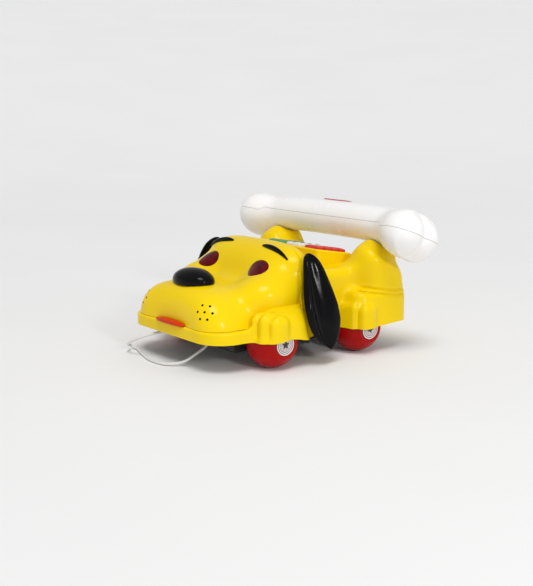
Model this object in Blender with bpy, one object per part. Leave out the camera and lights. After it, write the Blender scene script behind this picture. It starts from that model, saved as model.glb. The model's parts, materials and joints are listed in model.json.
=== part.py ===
"""Pull-along dog telephone: a toy telephone shaped as a lying dog, with a bone for a handset.

Lengths below are millimetres, measured from the front axle (y), the centre plane (x) and the floor (z).
place() turns them into metres in the row frame: -Y is the dog's face, +X its left side, +Z up.
"""
import math

import bmesh
import bpy
import numpy as np
from mathutils import Matrix, Vector

MM = 0.001
AXLE_TO_ORIGIN = 37.0       # the front axle is this far in front of the row's origin

WHEEL_R = 19.5              # rolling radius
WHEEL_X = 56.3              # middle of each wheel
WHEEL_HALF = 15.7
WHEELBASE = 84.6
AXLE_R = 2.0
AXLE_FIT = 0.08             # radial running clearance of each axle in its bores

WALL = 2.2                  # moulded wall of the yellow shells
SEAM_Y = 33.0               # the face moulding ends here, over the crown
SEAM_GAP = 0.4
LIP_TOP = 31.0
LIP_BOTTOM = 22.0
LIP_FRONT = -54.0
LIP_HALF = 59.5
LEDGE = 7.0                 # shelf inside the lip that carries the face moulding
HEAD_HALF = 59.0
DECK_TOP = 66.5
TRUNK_HALF = 57.0
REAR_Y = 123.0

CONSOLE_HALF = 35.4
CONSOLE_FRONT = 61.0
CONSOLE_REAR = 100.0
CONSOLE_TOP = 79.6          # height at its front edge
CONSOLE_FALL = 0.17         # how far the top falls for each unit rearwards
KEY_PITCH_X = 23.2
KEY_PITCH_S = 7.9
KEY_HALF_X = 8.3
KEY_HALF_S = 3.0
KEY_PROUD = 2.2
KEY_TRAVEL = 1.5
KEY_GAP = 0.35

BONE_Y = 108.0              # middle of the handset
BONE_Z = 92.0
BONE_TILT = math.radians(22.0)
LOBE_X = 88.6
LOBE_V = 8.4
LOBE_R = 16.8
SHAFT_R = 14.4
SHAFT_ARCH = 6.3
BONE_CLEAR = 1.7            # play round the handset in its two saddles

EYE = (31.8, 9.2, 65.4)
EYE_HALF_X = 10.4
EYE_HALF_S = 8.4
NOSE = (0.0, -30.5, 60.5)

BASE_HALF = 37.0            # black underside tray
BASE_FRONT = -20.0
BASE_REAR = 110.0
BASE_BOTTOM = 9.0
BASE_TOP = 26.0
DOOR_HALF_X = 29.0
DOOR_Y0 = 14.0
DOOR_Y1 = 70.0

CORD_R = 1.05


# ---------------------------------------------------------------- solid fields

def ball(x, y, z, c, r):
    qx, qy, qz = (x - c[0]) / r[0], (y - c[1]) / r[1], (z - c[2]) / r[2]
    k0 = np.sqrt(qx * qx + qy * qy + qz * qz)
    k1 = np.sqrt((qx / r[0]) ** 2 + (qy / r[1]) ** 2 + (qz / r[2]) ** 2) + 1e-9
    return k0 * (k0 - 1) / k1


def blend_min(a, b, k):
    h = np.maximum(k - np.abs(a - b), 0) / k
    return np.minimum(a, b) - h * h * k * 0.25


def blend_max(a, b, k):
    return -blend_min(-a, -b, k)


def ease(t):
    t = np.clip(t, 0, 1)
    return t * t * (3 - 2 * t)


def rounded_plan(x, y, half_x, y0, y1, r):
    ax = np.abs(x) - half_x + r
    ay = np.abs(y - (y0 + y1) / 2) - (y1 - y0) / 2 + r
    outside = np.sqrt(np.maximum(ax, 0) ** 2 + np.maximum(ay, 0) ** 2)
    return outside + np.minimum(np.maximum(ax, ay), 0) - r


def skull(x, y, z):
    zc = 50.0
    side = (np.abs(x) / HEAD_HALF) ** 4 + (np.abs(z - zc) / np.where(z > zc, 37.0, 60.0)) ** 4
    return (np.sqrt(np.sqrt(side + 1e-12) + ((y - 32) / 29.0) ** 2 + 1e-9) - 1) * 30.0


def face_field(x, y, z):
    ax = np.abs(x)
    d = blend_min(skull(x, y, z), ball(ax, y, z, (40, 9, 50), (21, 25, 17)), 9)
    plan = rounded_plan(x, y + 0.0018 * x * x, 55.5, -51.0, 40, 24)
    top = z - (61.0 - 0.0046 * x * x - 0.06 * (y + 34))
    return blend_min(d, blend_max(plan, top, 24), 12)


def toes(ax, y, z, y0, z0):
    d = None
    for cx, cy, cz, r in ((57.2, 0, 0, 5.6), (64.8, -0.8, -1.2, 5.8), (71.2, 3.4, -3.6, 5.2)):
        e = np.sqrt((ax - cx) ** 2 + ((y - (y0 + cy)) / 1.6) ** 2) - r
        e = blend_max(e, z - (z0 + cz), 9)
        d = e if d is None else blend_min(d, e, 1.6)
    return d


def foreleg(ax, y, z):
    arm = blend_max(np.abs(ax - 61) - 14.0, np.abs(y) - 24.0, 14)
    arm = blend_max(arm, z - (45.5 - 0.10 * (ax - 60)), 12)
    d = blend_min(arm, toes(ax, y, z, -18.5, 45), 3)
    side = 68 + 5 * ease((30 - z) / 14) - 9 * ease((y - 17) / 18)
    flare = blend_max(ax - side, np.abs(y - 16) - 24, 8)
    return blend_min(d, blend_max(flare, z - 50, 12), 6)


def trunk(x, y, z):
    return blend_max(rounded_plan(x, y, TRUNK_HALF, 10, 116, 14), z - DECK_TOP, 8)


def haunch(ax, y, z):
    knee = ball(ax, y, z, (58.0, 96.5, 67), (12.3, 11.5, 19.6))
    low = blend_max(np.abs(ax - 59.5) - 16.0, np.abs(y - 103.5) - 19.0, 15)
    low = blend_max(low, z - (77 - 0.5 * (y - 97)), 12)
    saddle = blend_max(np.abs(ax - 57) - (12.5 + 0.12 * (78 - z)), np.abs(y - 106) - 11.5, 10)
    saddle = blend_max(saddle, z - 84.0, 7)
    return blend_min(blend_min(knee, low, 7), saddle, 4)


def hindleg(ax, y, z):
    d = blend_max(np.abs(ax - 60) - 15.5, np.abs(y - 91.5) - 31.5, 14)
    d = blend_max(d, z - 52, 10)
    return blend_min(d, toes(ax, y, z, 70, 49), 3)


def bone_frame(y, z):
    dy, dz = y - BONE_Y, z - BONE_Z
    v = dy * math.cos(BONE_TILT) - dz * math.sin(BONE_TILT)
    w = dy * math.sin(BONE_TILT) + dz * math.cos(BONE_TILT)
    return v, w


def bone_arch(x):
    """Rise of the shaft's middle line."""
    return SHAFT_ARCH * (1 - np.clip(np.abs(x) / LOBE_X, 0, 1) ** 4)


def bone_field(x, v, w):
    u = np.clip(np.abs(x) / LOBE_X, 0, 1)
    ax = np.abs(x)
    radius = SHAFT_R + 1.3 * u ** 3
    shaft = blend_max(np.sqrt(v * v + (w - bone_arch(x)) ** 2) - radius, ax - LOBE_X, 2)
    fore = np.sqrt((ax - LOBE_X) ** 2 + (v + LOBE_V) ** 2 + w * w) - LOBE_R
    aft = np.sqrt((ax - LOBE_X) ** 2 + (v - LOBE_V) ** 2 + w * w) - LOBE_R
    return blend_min(shaft, blend_min(fore, aft, 1.4), 12)


def lower_edge(y):
    return (22.2 + 1.5 * ease((y + 20) / 20) - 4.2 * ease((y - 2) / 26)
            + 3.5 * ease((y - 32) / 12) - 1.5 * ease((y - 55) / 10) + 1.5 * ease((y - 85) / 25))


def body_field(x, y, z):
    ax = np.abs(x)
    d = blend_min(trunk(x, y, z), skull(x, 32 + (y - 32) * 1.7, z), 8)
    d = blend_min(d, haunch(ax, y, z), 6)
    d = blend_min(d, hindleg(ax, y, z), 4)
    lip = blend_max(rounded_plan(x, y, LIP_HALF, LIP_FRONT, 40, 22), np.abs(z - 20.0) - 11.0, 2)
    d = np.minimum(d, lip)
    d = blend_min(d, foreleg(ax, y, z), 4)
    v, w = bone_frame(y, z)
    return blend_max(d, BONE_CLEAR - bone_field(x, v, w), 0.4)


# ---------------------------------------------------------------- sheets cast on a field

def fan(cx, cy, a0, a1, n):
    a = np.radians(np.linspace(a0, a1, n))
    return np.full(n, cx), np.full(n, cy), np.cos(a), np.sin(a)


def outermost(field, px, py, pz, dx, dy, dz, reach, step=1.5):
    """Distance along each ray to the last place where it leaves the solid."""
    t = np.arange(0.0, reach, step)
    f = field(px[..., None] + dx[..., None] * t, py[..., None] + dy[..., None] * t,
              pz[..., None] + dz[..., None] * t)
    inside = f < 0
    last = inside.shape[-1] - 1 - np.argmax(inside[..., ::-1], axis=-1)
    lo = np.where(inside.any(axis=-1), t[last], 0.0)
    hi = lo + step
    for _ in range(12):
        mid = (lo + hi) / 2
        neg = field(px + dx * mid, py + dy * mid, pz + dz * mid) < 0
        lo = np.where(neg, mid, lo)
        hi = np.where(neg, hi, mid)
    return (lo + hi) / 2


def profiles(field, st, z0, rc, zc, up=1.0, counts=(20, 16, 44), reach=60.0):
    """One outline per station, from its lower edge over the top to the ridge.

    st holds each station's plan origin and outward direction; z0, rc and zc give the lower edge and the
    inner corner the rays leave from.
    """
    ox, oy, ex, ey = [a[:, None] for a in st]
    z0, rc, zc = [np.broadcast_to(np.asarray(a, float), st[0].shape)[:, None] for a in (z0, rc, zc)]
    side = np.linspace(0, 1, counts[0])[None]
    turn = np.linspace(0, math.pi / 2, counts[1] + 2)[1:-1][None]
    back = np.linspace(0, 1, counts[2])[None]
    one = np.ones_like(side + z0)
    r = np.concatenate([rc * one, rc + 0 * turn, rc * (1 - back)], axis=1)
    z = np.concatenate([z0 + (zc - z0) * side, zc + 0 * turn, zc + 0 * back], axis=1)
    dr = np.concatenate([one, np.cos(turn) + 0 * zc, 0 * back + 0 * zc], axis=1)
    dz = np.concatenate([0 * one, np.sin(turn) + 0 * zc, 1 + 0 * back + 0 * zc], axis=1) * up
    t = outermost(field, ox + ex * r, oy + ey * r, z, ex * dr, ey * dr, dz, reach)
    return np.stack([ox + ex * (r + dr * t), oy + ey * (r + dr * t), z + dz * t], axis=-1)


def resample(line, n, bias=None):
    seg = np.linalg.norm(np.diff(line, axis=0), axis=1)
    s = np.concatenate([[0], np.cumsum(seg)])
    q = np.linspace(0, 1, n) if bias is None else bias
    return np.stack([np.interp(q * s[-1], s, line[:, k]) for k in range(3)], axis=-1)


def normals(field, p, e=0.25):
    g = np.zeros_like(p)
    for k in range(3):
        d = np.zeros(3)
        d[k] = e
        a, b = p + d, p - d
        g[..., k] = field(a[..., 0], a[..., 1], a[..., 2]) - field(b[..., 0], b[..., 1], b[..., 2])
    return g / (np.linalg.norm(g, axis=-1, keepdims=True) + 1e-12)


# ---------------------------------------------------------------- meshes

def place(p):
    return Vector((p[0] * MM, (p[1] - AXLE_TO_ORIGIN) * MM, p[2] * MM))


def material(name, rgba, rough, metal=0.0):
    m = bpy.data.materials.get(name)
    if m is None:
        m = bpy.data.materials.new(name)
        m.use_nodes = True
        b = m.node_tree.nodes["Principled BSDF"]
        b.inputs["Base Color"].default_value = rgba
        b.inputs["Roughness"].default_value = rough
        b.inputs["Metallic"].default_value = metal
        m.diffuse_color = rgba
    return m


def add_node(name, bm, mat, pivot=None):
    """Store a bmesh of millimetre points as a named node, its origin on the pivot."""
    bmesh.ops.remove_doubles(bm, verts=bm.verts, dist=0.002)
    bmesh.ops.dissolve_degenerate(bm, dist=0.002, edges=bm.edges)
    origin = place(pivot) if pivot is not None else Vector((0, 0, 0))
    for v in bm.verts:
        v.co = place(v.co) - origin
    bmesh.ops.recalc_face_normals(bm, faces=bm.faces)
    me = bpy.data.meshes.new(name)
    bm.to_mesh(me)
    bm.free()
    ob = bpy.data.objects.new(name, me)
    ob.location = origin
    ob.data.materials.append(mat)
    bpy.context.scene.collection.objects.link(ob)
    return ob


def sheet_solid(patches, field, wall, skip=None, thick=None, level_rim=None):
    """Closed shell: welded patches, their inward copy, and a rim along every open edge."""
    sheet = bmesh.new()
    for g in patches:
        vs = [[sheet.verts.new(p) for p in row] for row in np.asarray(g)]
        for i in range(len(vs) - 1):
            for j in range(len(vs[0]) - 1):
                quad = (vs[i][j], vs[i + 1][j], vs[i + 1][j + 1], vs[i][j + 1])
                c = sum((v.co for v in quad), Vector()) / 4
                if skip is not None and skip(c):
                    continue
                sheet.faces.new(quad)
    bmesh.ops.remove_doubles(sheet, verts=sheet.verts, dist=0.02)
    bmesh.ops.dissolve_degenerate(sheet, dist=0.02, edges=sheet.edges)
    loose = [v for v in sheet.verts if not v.link_faces]
    bmesh.ops.delete(sheet, geom=loose, context="VERTS")
    bmesh.ops.recalc_face_normals(sheet, faces=sheet.faces)
    sheet.verts.ensure_lookup_table()
    pts = np.array([v.co[:] for v in sheet.verts])
    nrm = normals(field, pts)
    sheet.normal_update()
    own = np.array([v.normal[:] for v in sheet.verts])
    if (nrm * own).sum() < 0:
        own = -own
    mix = nrm + own
    mix /= np.linalg.norm(mix, axis=1, keepdims=True) + 1e-9
    depth = np.full(len(pts), float(wall)) if thick is None else thick(pts)
    for e in sheet.edges:
        if len(e.link_faces) == 1 and level_rim is not None:
            for v in e.verts:
                if level_rim(v.co) is not None:
                    mix[v.index, level_rim(v.co)] = 0.0
    bm = bmesh.new()
    vo = [bm.verts.new(p) for p in pts]
    vi = [bm.verts.new(p) for p in pts - mix * depth[:, None]]
    for f in sheet.faces:
        ids = [v.index for v in f.verts]
        n = Vector(f.normal)
        ref = Vector(nrm[ids].mean(axis=0))
        if n.dot(ref) < 0:
            ids = ids[::-1]
        bm.faces.new([vo[i] for i in ids])
        bm.faces.new([vi[i] for i in ids[::-1]])
    for e in sheet.edges:
        if len(e.link_faces) == 1:
            a, b = e.verts[0].index, e.verts[1].index
            bm.faces.new((vo[a], vo[b], vi[b], vi[a]))
    sheet.free()
    return bm


def triangulated(bm):
    bmesh.ops.triangulate(bm, faces=bm.faces, quad_method="BEAUTY")
    return bm


def box_bm(x0, x1, y0, y1, z0, z1, shear=None):
    bm = bmesh.new()
    bmesh.ops.create_cube(bm, size=1.0)
    for v in bm.verts:
        v.co = Vector((x0 if v.co.x < 0 else x1, y0 if v.co.y < 0 else y1, z0 if v.co.z < 0 else z1))
        if shear:
            v.co = shear(v.co)
    return bm


def bevelled(bm, width, segments=1, edges=None):
    bmesh.ops.bevel(bm, geom=list(edges or bm.edges), offset=width, segments=segments, profile=0.5,
                    affect="EDGES", clamp_overlap=True)
    return bm


def lathe(points, axis_at, axis, seg):
    """Solid of revolution; points are (along, radius), first and last on the axis."""
    bm = bmesh.new()
    axis = Vector(axis).normalized()
    side = Vector((0, 0, 1)) if abs(axis.z) < 1e-6 else axis.orthogonal().normalized()
    other = axis.cross(side)
    rings = []
    for along, r in points:
        c = Vector(axis_at) + axis * along
        if r < 1e-6:
            rings.append([bm.verts.new(c)] * seg)
            continue
        ring = []
        for k in range(seg):
            a = 2 * math.pi * k / seg
            ring.append(bm.verts.new(c + side * (r * math.cos(a)) + other * (r * math.sin(a))))
        rings.append(ring)
    for a, b in zip(rings, rings[1:]):
        for k in range(seg):
            quad = [a[k], a[(k + 1) % seg], b[(k + 1) % seg], b[k]]
            uniq = []
            for v in quad:
                if v not in uniq:
                    uniq.append(v)
            if len(uniq) > 2:
                bm.faces.new(uniq)
    bmesh.ops.recalc_face_normals(bm, faces=bm.faces)
    return bm


def merged(*parts):
    out = bmesh.new()
    for p in parts:
        me = bpy.data.meshes.new("piece")
        p.to_mesh(me)
        p.free()
        out.from_mesh(me)
        bpy.data.meshes.remove(me)
    return out


def cut(target, cutters, mode="DIFFERENCE"):
    """Boolean each millimetre cutter bmesh into the node and apply it."""
    for k, c in enumerate(cutters):
        me = bpy.data.meshes.new("cutter")
        for v in c.verts:
            v.co = place(v.co)
        bmesh.ops.recalc_face_normals(c, faces=c.faces)
        c.to_mesh(me)
        c.free()
        ob = bpy.data.objects.new("cutter", me)
        bpy.context.scene.collection.objects.link(ob)
        mod = target.modifiers.new("cut%d" % k, "BOOLEAN")
        mod.operation = mode
        mod.solver = "EXACT"
        mod.object = ob
        dg = bpy.context.evaluated_depsgraph_get()
        new = bpy.data.meshes.new_from_object(target.evaluated_get(dg))
        target.modifiers.clear()
        old = target.data
        name = old.name
        target.data = new
        bpy.data.meshes.remove(old)
        new.name = name
        bpy.data.objects.remove(ob)
        bpy.data.meshes.remove(me)
    return target


# ---------------------------------------------------------------- yellow body

SEAM_LINE = ((-60, 31.15), (-30, 31.15), (-19, 42.5), (16, 45.0), (21, 47.0), (25, 51.0), (29, 54.0),
             (33, 56.0))


def seam_height(y):
    ys, zs = zip(*SEAM_LINE)
    return np.interp(y, ys, zs)


def reach_out(field, st, z):
    """Plan distance from each station's origin to the outline at one height."""
    ox, oy, ex, ey = st
    zz = np.full_like(ox, float(z))
    return outermost(field, ox, oy, zz, ex, ey, 0 * ex, 100.0)


def clip_low(line, low):
    """Drop the part of an outline under its lower edge, keeping the exact crossing."""
    over = line[:, 2] - low(line[:, 1])
    k = int(np.argmax(over > 0))
    if k == 0:
        return line
    t = over[k] / (over[k] - over[k - 1])
    return np.concatenate([[line[k] + (line[k - 1] - line[k]) * t], line[k:]])


def front_wall_line(line):
    """The part of a body outline in front of the seam: lower edge up to where the face moulding sits."""
    fine = resample(clip_low(line, lower_edge), 400)
    x, y, z = fine.T
    if y[0] < -29.5:
        stop = np.hypot(x - x[0], y - y[0]) > LEDGE
    elif y[0] < 27:
        stop = (face_field(x, y, z) < SEAM_GAP) | ((z > seam_height(y) - 0.15) & (y > 27))
    else:
        stop = z > seam_height(y) - 0.15
    k = int(np.argmax(stop)) if stop.any() else len(fine) - 1
    return fine[:max(k, 2)]


def body_patches(n_fan, n_wall, n_side, n_rear, n_top):
    st = fan(0.0, SEAM_Y, 0.0, -180.0, n_fan)
    out = reach_out(body_field, st, 27.0)
    fore = ease((st[1] + out * st[3] + 30) / 8)
    lines = profiles(body_field, st, 17.0, out - 9 - 2 * fore, 27 + 7 * fore, reach=40.0)
    wall = np.array([resample(front_wall_line(q), n_wall) for q in lines])
    grids = [wall]
    ys = np.linspace(SEAM_Y, 100.0, n_side)
    for sx in (1.0, -1.0):
        st = (np.zeros(n_side), ys, np.full(n_side, sx), np.zeros(n_side))
        grids.append(arch_lines(st, ys, n_wall, n_top))
        wall[0 if sx > 0 else -1] = grids[-1][0][:n_wall]
    st = fan(0.0, 100.0, 0.0, 180.0, n_rear)
    grids.append(arch_lines(st, np.full(n_rear, 100.0), n_wall, n_top))
    return grids


def arch_lines(st, ys, n_wall, n_top):
    """Outlines from the lower edge to the ridge, with the seam height as a fixed point."""
    out = reach_out(body_field, st, 40.0)
    rc = np.where(ys <= SEAM_Y, out - 11, np.maximum(out - 20, 2.0))
    zc = np.where(ys <= SEAM_Y, 45.0, 45.0)
    lines = profiles(body_field, st, 17.0, rc, zc, reach=60.0, counts=(24, 20, 60))
    rows = []
    for k, q in enumerate(lines):
        q = clip_low(q, lower_edge)
        over = np.maximum.accumulate(q[:, 2])
        split = 56.0 - 6.0 * float(ease((ys[k] - 33) / 20))
        j = max(2, int(np.argmax(over > split)))
        a = np.concatenate([q[:j], [q[j - 1] + (q[j] - q[j - 1])
                                    * np.clip((split - q[j - 1, 2]) / max(q[j, 2] - q[j - 1, 2], 1e-6), 0, 1)]])
        b = np.concatenate([a[-1:], q[j:]])
        rows.append(np.concatenate([resample(a, n_wall), resample(b, n_top)[1:]]))
    return np.array(rows)


def face_patches(n_fan, n_up):
    st = fan(0.0, SEAM_Y - SEAM_GAP, 0.0, -180.0, n_fan)
    out = reach_out(face_field, st, 34.0)
    lines = profiles(face_field, st, 26.0, out - 20, 42.0, reach=70.0, counts=(24, 24, 70))
    rows = []
    for q in lines:
        fine = resample(q, 500)
        x, y, z = fine.T
        ax = np.abs(x)
        lip = blend_max(rounded_plan(x, y, LIP_HALF, LIP_FRONT, 40, 22), np.abs(z - 20.0) - 11.0, 2)
        under = np.minimum(lip, foreleg(ax, y, z))
        hidden = (under < SEAM_GAP) | ((z < seam_height(y) + 0.15) & (y > 16)) | (z < LIP_TOP + SEAM_GAP)
        low = np.where(hidden & (z < 62) & (np.arange(500) < 300))[0]
        k = int(low[-1]) + 1 if len(low) else 0
        rows.append(resample(fine[k:], n_up))
    return [np.array(rows)]


def deck_opening(c):
    return abs(c.x) < 30.0 and 65.0 < c.y < 95.0 and 60.0 < c.z < 70.0


def body_rim(c):
    """Axis that a rim stays square to: the lower edge is level, the seam with the face upright."""
    if c.z < 40 and abs(c.z - lower_edge(c.y)) < 0.6:
        return 2
    return 1 if abs(c.y - SEAM_Y) < 0.05 and c.z > 54 else None


def face_rim(c):
    return 1 if abs(c.y - SEAM_Y + SEAM_GAP) < 0.05 else None


def body_wall(p):
    """Thinner in the tight corners of the lip and of the saddles."""
    ax, y, z = np.abs(p[:, 0]), p[:, 1], p[:, 2]
    lip = (y < -24) & (z < 34)
    saddle = (y > 92) & (ax < 50) & (z > 56)
    return np.where(lip, 1.2, np.where(saddle, 0.9, WALL))


def build_body(yellow):
    bm = sheet_solid(body_patches(45, 6, 15, 17, 11), body_field, WALL, skip=deck_opening,
                     thick=body_wall, level_rim=body_rim)
    return add_node("body_shell", triangulated(bm), yellow)


def build_face(yellow):
    bm = sheet_solid(face_patches(41, 12), face_field, WALL, level_rim=face_rim)
    return add_node("face_shell", triangulated(bm), yellow)


# ---------------------------------------------------------------- keypad console

CONSOLE_MID = (CONSOLE_FRONT + CONSOLE_REAR) / 2
SLOPE = math.atan(CONSOLE_FALL)


def on_slope(p):
    """Point given as (x, distance down the slope, height over the console top)."""
    x, s, n = p
    top = CONSOLE_TOP - CONSOLE_FALL * (CONSOLE_MID - CONSOLE_FRONT)
    return Vector((x, CONSOLE_MID + s * math.cos(SLOPE) + n * math.sin(SLOPE),
                   top - s * math.sin(SLOPE) + n * math.cos(SLOPE)))


def slope_box(x0, x1, s0, s1, n0, n1):
    bm = box_bm(x0, x1, s0, s1, n0, n1)
    for v in bm.verts:
        v.co = on_slope(v.co)
    return bm


def key_centres():
    out = []
    for row in range(4):
        for col in range(3):
            out.append(((1 - col) * KEY_PITCH_X, (row - 1.5) * KEY_PITCH_S))
    return out


def build_console(yellow):
    def under_top(co):
        if co.z > 70:
            co.z = CONSOLE_TOP - CONSOLE_FALL * (co.y - CONSOLE_FRONT)
        return co

    def under_wall(co):
        if co.z > 70:
            co.z = CONSOLE_TOP - WALL - CONSOLE_FALL * (co.y - CONSOLE_FRONT)
        return co

    outer = box_bm(-CONSOLE_HALF, CONSOLE_HALF, CONSOLE_FRONT, CONSOLE_REAR, DECK_TOP + 1.9, 90, under_top)
    round_edges = [e for e in outer.edges if max(v.co.z for v in e.verts) > 70]
    bevelled(outer, 2.0, 2, round_edges)
    ob = add_node("console", outer, yellow)
    inner = box_bm(-CONSOLE_HALF + WALL, CONSOLE_HALF - WALL, CONSOLE_FRONT + WALL, CONSOLE_REAR - WALL,
                   DECK_TOP - 2, 90, under_wall)
    holes = []
    for x, t in key_centres():
        holes.append(slope_box(x - KEY_HALF_X - KEY_GAP, x + KEY_HALF_X + KEY_GAP,
                               t - KEY_HALF_S - KEY_GAP, t + KEY_HALF_S + KEY_GAP, -4, 3))
    cut(ob, [inner, merged(*holes)])
    return ob


KEY_NAMES = ("1", "2", "3", "4", "5", "6", "7", "8", "9", "star", "0", "hash")
KEY_COLOURS = ((0.70, 0.03, 0.04, 1), (0.85, 0.85, 0.82, 1), (0.10, 0.42, 0.20, 1))


def build_keys():
    obs = []
    mats = [material("key_red", KEY_COLOURS[0], 0.35), material("key_white", KEY_COLOURS[1], 0.35),
            material("key_green", KEY_COLOURS[2], 0.35)]
    for k, (x, t) in enumerate(key_centres()):
        cap = slope_box(x - KEY_HALF_X, x + KEY_HALF_X, t - KEY_HALF_S, t + KEY_HALF_S, -2.8, KEY_PROUD)
        bevelled(cap, 0.7, 1, [e for e in cap.edges if all((v.co - on_slope((x, t, 0))).dot(
            on_slope((0, 0, 1)) - on_slope((0, 0, 0))) > 1 for v in e.verts)])
        flange = slope_box(x - KEY_HALF_X - 1, x + KEY_HALF_X + 1, t - KEY_HALF_S - 0.7,
                           t + KEY_HALF_S + 0.7, -4.2, -2.6)
        ob = add_node("key_" + KEY_NAMES[k], cap, mats[k % 3], on_slope((x, t, 0)))
        cut(ob, [flange], "UNION")
        obs.append(ob)
    return obs


def build_electronics(grey, green, black, red):
    obs = [add_node("key_membrane", slope_box(-32.4, 32.4, -14.2, 12.4, -7.1, -5.9), grey),
           add_node("main_pcb", slope_box(-26, 26, -12.5, 12.5, -8.9, -7.3), green),
           add_node("sound_chip", slope_box(-7, 7, -5, 5, -11.0, -9.1), black)]
    for side, sx in (("l", 1), ("r", -1)):
        c = eye_centre(sx)
        n = eye_normal(sx)
        obs.append(add_node("eye_led_" + side,
                            lathe(((-13, 0), (-13, 2.5), (-7, 2.5), (-5.2, 1.5), (-5.0, 0)), c, n, 10), red))
    speaker_at = Vector((0, -23, 40))
    axis = Vector((0, -0.94, 0.34)).normalized()
    obs.append(add_node("speaker_cone", lathe(((0, 0), (0, 5), (2.6, 10), (4, 13), (4, 15), (2.2, 15),
                                               (2.2, 13), (-2, 5), (-2, 0)), speaker_at, axis, 16), black))
    obs.append(add_node("speaker_magnet", lathe(((-9, 0), (-9, 8), (-2.4, 8), (-2.4, 0)),
                                                speaker_at, axis, 20), grey))
    return obs


# ---------------------------------------------------------------- face details

def eye_normal(sx):
    e = 0.3
    p = np.array([EYE[0], EYE[1], EYE[2]])
    n = normals(face_field, p[None], e)[0]
    return Vector((sx * n[0], n[1], n[2]))


def eye_centre(sx):
    """The eye's middle, on the face surface."""
    p = np.array([EYE])
    for _ in range(5):
        p = p - normals(face_field, p) * face_field(p[:, 0], p[:, 1], p[:, 2])[:, None]
    return Vector((sx * p[0, 0], p[0, 1], p[0, 2]))


def on_face(x, z_guess):
    """Point on the face moulding straight ahead of (x, z)."""
    y = np.array([0.0])
    t = outermost(face_field, np.array([x]), y + 20, np.array([z_guess]), 0 * y, y - 1, 0 * y, 100.0)
    return Vector((x, 20 - float(t[0]), z_guess))


def eye_frame(sx):
    n = eye_normal(sx)
    up = (Vector((0, 0, 1)) - n * n.z).normalized()
    return n, n.cross(up).normalized(), up


def oval_solid(c, n, a, b, ra, rb, levels, seg):
    """Stack of ovals along n: levels are (height, scale); closed at both ends."""
    bm = bmesh.new()
    rings = []
    for h, k in levels:
        rings.append([bm.verts.new(c + n * h + a * (ra * k * math.cos(2 * math.pi * i / seg))
                                   + b * (rb * k * math.sin(2 * math.pi * i / seg))) for i in range(seg)])
    for p, q in zip(rings, rings[1:]):
        for i in range(seg):
            bm.faces.new((p[i], p[(i + 1) % seg], q[(i + 1) % seg], q[i]))
    bm.faces.new(rings[0][::-1])
    bm.faces.new(rings[-1])
    bmesh.ops.recalc_face_normals(bm, faces=bm.faces)
    return bm


WHISKER_RING = 6.2
WHISKER_AT = (42.6, 44.8)


def whisker_holes(sx):
    """Middles and directions of the seven sound holes on one cheek: a ring of six about one."""
    at = on_face(WHISKER_AT[0], WHISKER_AT[1])
    n = Vector(normals(face_field, np.array([at[:]]))[0])
    up = (Vector((0, 0, 1)) - n * n.z).normalized()
    across = n.cross(up)
    out = []
    for k in range(7):
        a = math.radians(60 * k + 30)
        r = WHISKER_RING if k < 6 else 0.0
        p = np.array([(at + across * (r * math.sin(a)) + up * (r * math.cos(a)))[:]])
        for _ in range(5):
            p = p - normals(face_field, p) * face_field(p[:, 0], p[:, 1], p[:, 2])[:, None]
        g = normals(face_field, p)[0]
        out.append((Vector((sx * p[0, 0], p[0, 1], p[0, 2])), Vector((sx * g[0], g[1], g[2]))))
    return out


def drill_face(face):
    cutters = []
    for sx in (1, -1):
        n, a, b = eye_frame(sx)
        c = eye_centre(sx)
        cutters.append(oval_solid(c, n, a, b, EYE_HALF_X, EYE_HALF_S, ((-6, 1), (6, 1)), 20))
        for p, g in whisker_holes(sx):
            cutters.append(lathe(((-5, 0), (-5, 0.9), (4, 0.9), (4, 0)), p, g, 6))
    cutters.append(lathe(((-8, 0), (-8, 3.3), (6, 3.3), (6, 0)), nose_peg()[0], nose_peg()[1], 10))
    cut(face, [merged(*cutters)])
    return face


def nose_peg():
    return Vector((0, -27, 57.6)), Vector((0, -0.35, 0.94)).normalized()


def nose_field(x, y, z):
    d = ball(x, y, z, NOSE, (20.2, 13.5, 9.6))
    return blend_max(d, 0.3 - face_field(x, y, z), 0.6)


def build_nose(black):
    n_seg, n_lat = 20, 7
    bm = bmesh.new()
    rings = []
    centre = Vector((NOSE[0], NOSE[1] - 1.0, NOSE[2] + 3.0))
    for i in range(n_lat + 1):
        lat = math.pi / 2 - math.pi * i / n_lat
        ring = []
        for k in range(n_seg):
            a = 2 * math.pi * k / n_seg
            d = Vector((math.cos(lat) * math.cos(a) * 1.4, math.cos(lat) * math.sin(a), math.sin(lat) * 0.7))
            d.normalize()
            one = np.ones(1)
            t = outermost(nose_field, one * centre.x, one * centre.y, one * centre.z,
                          one * d.x, one * d.y, one * d.z, 30.0, 0.25)
            ring.append(bm.verts.new(centre + d * float(t[0])))
        rings.append(ring)
    for p, q in zip(rings, rings[1:]):
        for k in range(n_seg):
            bm.faces.new((p[k], p[(k + 1) % n_seg], q[(k + 1) % n_seg], q[k]))
    bmesh.ops.remove_doubles(bm, verts=bm.verts, dist=0.05)
    ob = add_node("nose", triangulated(bm), black)
    c, n = nose_peg()
    cut(ob, [lathe(((-5, 0), (-5, 3.0), (5, 3.0), (5, 0)), c, n, 10)], "UNION")
    return ob


BROW = ((18.8, 22.8, 80.4), (30.7, 21.5, 82.6), (46.6, 23.0, 74.8))


def brow_point(t, sx):
    """Middle line of a brow, riding on the face moulding."""
    a, b, c = [Vector(p) for p in BROW]
    m = b * 2 - (a + c) / 2
    p = a * (1 - t) ** 2 + m * (2 * t * (1 - t)) + c * t ** 2
    p = np.array([p[:]])
    for _ in range(6):
        f = face_field(p[:, 0], p[:, 1], p[:, 2])
        p = p - normals(face_field, p) * f[:, None]
    n = normals(face_field, p)[0]
    return Vector((sx * p[0, 0], p[0, 1], p[0, 2])), Vector((sx * n[0], n[1], n[2]))


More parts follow.
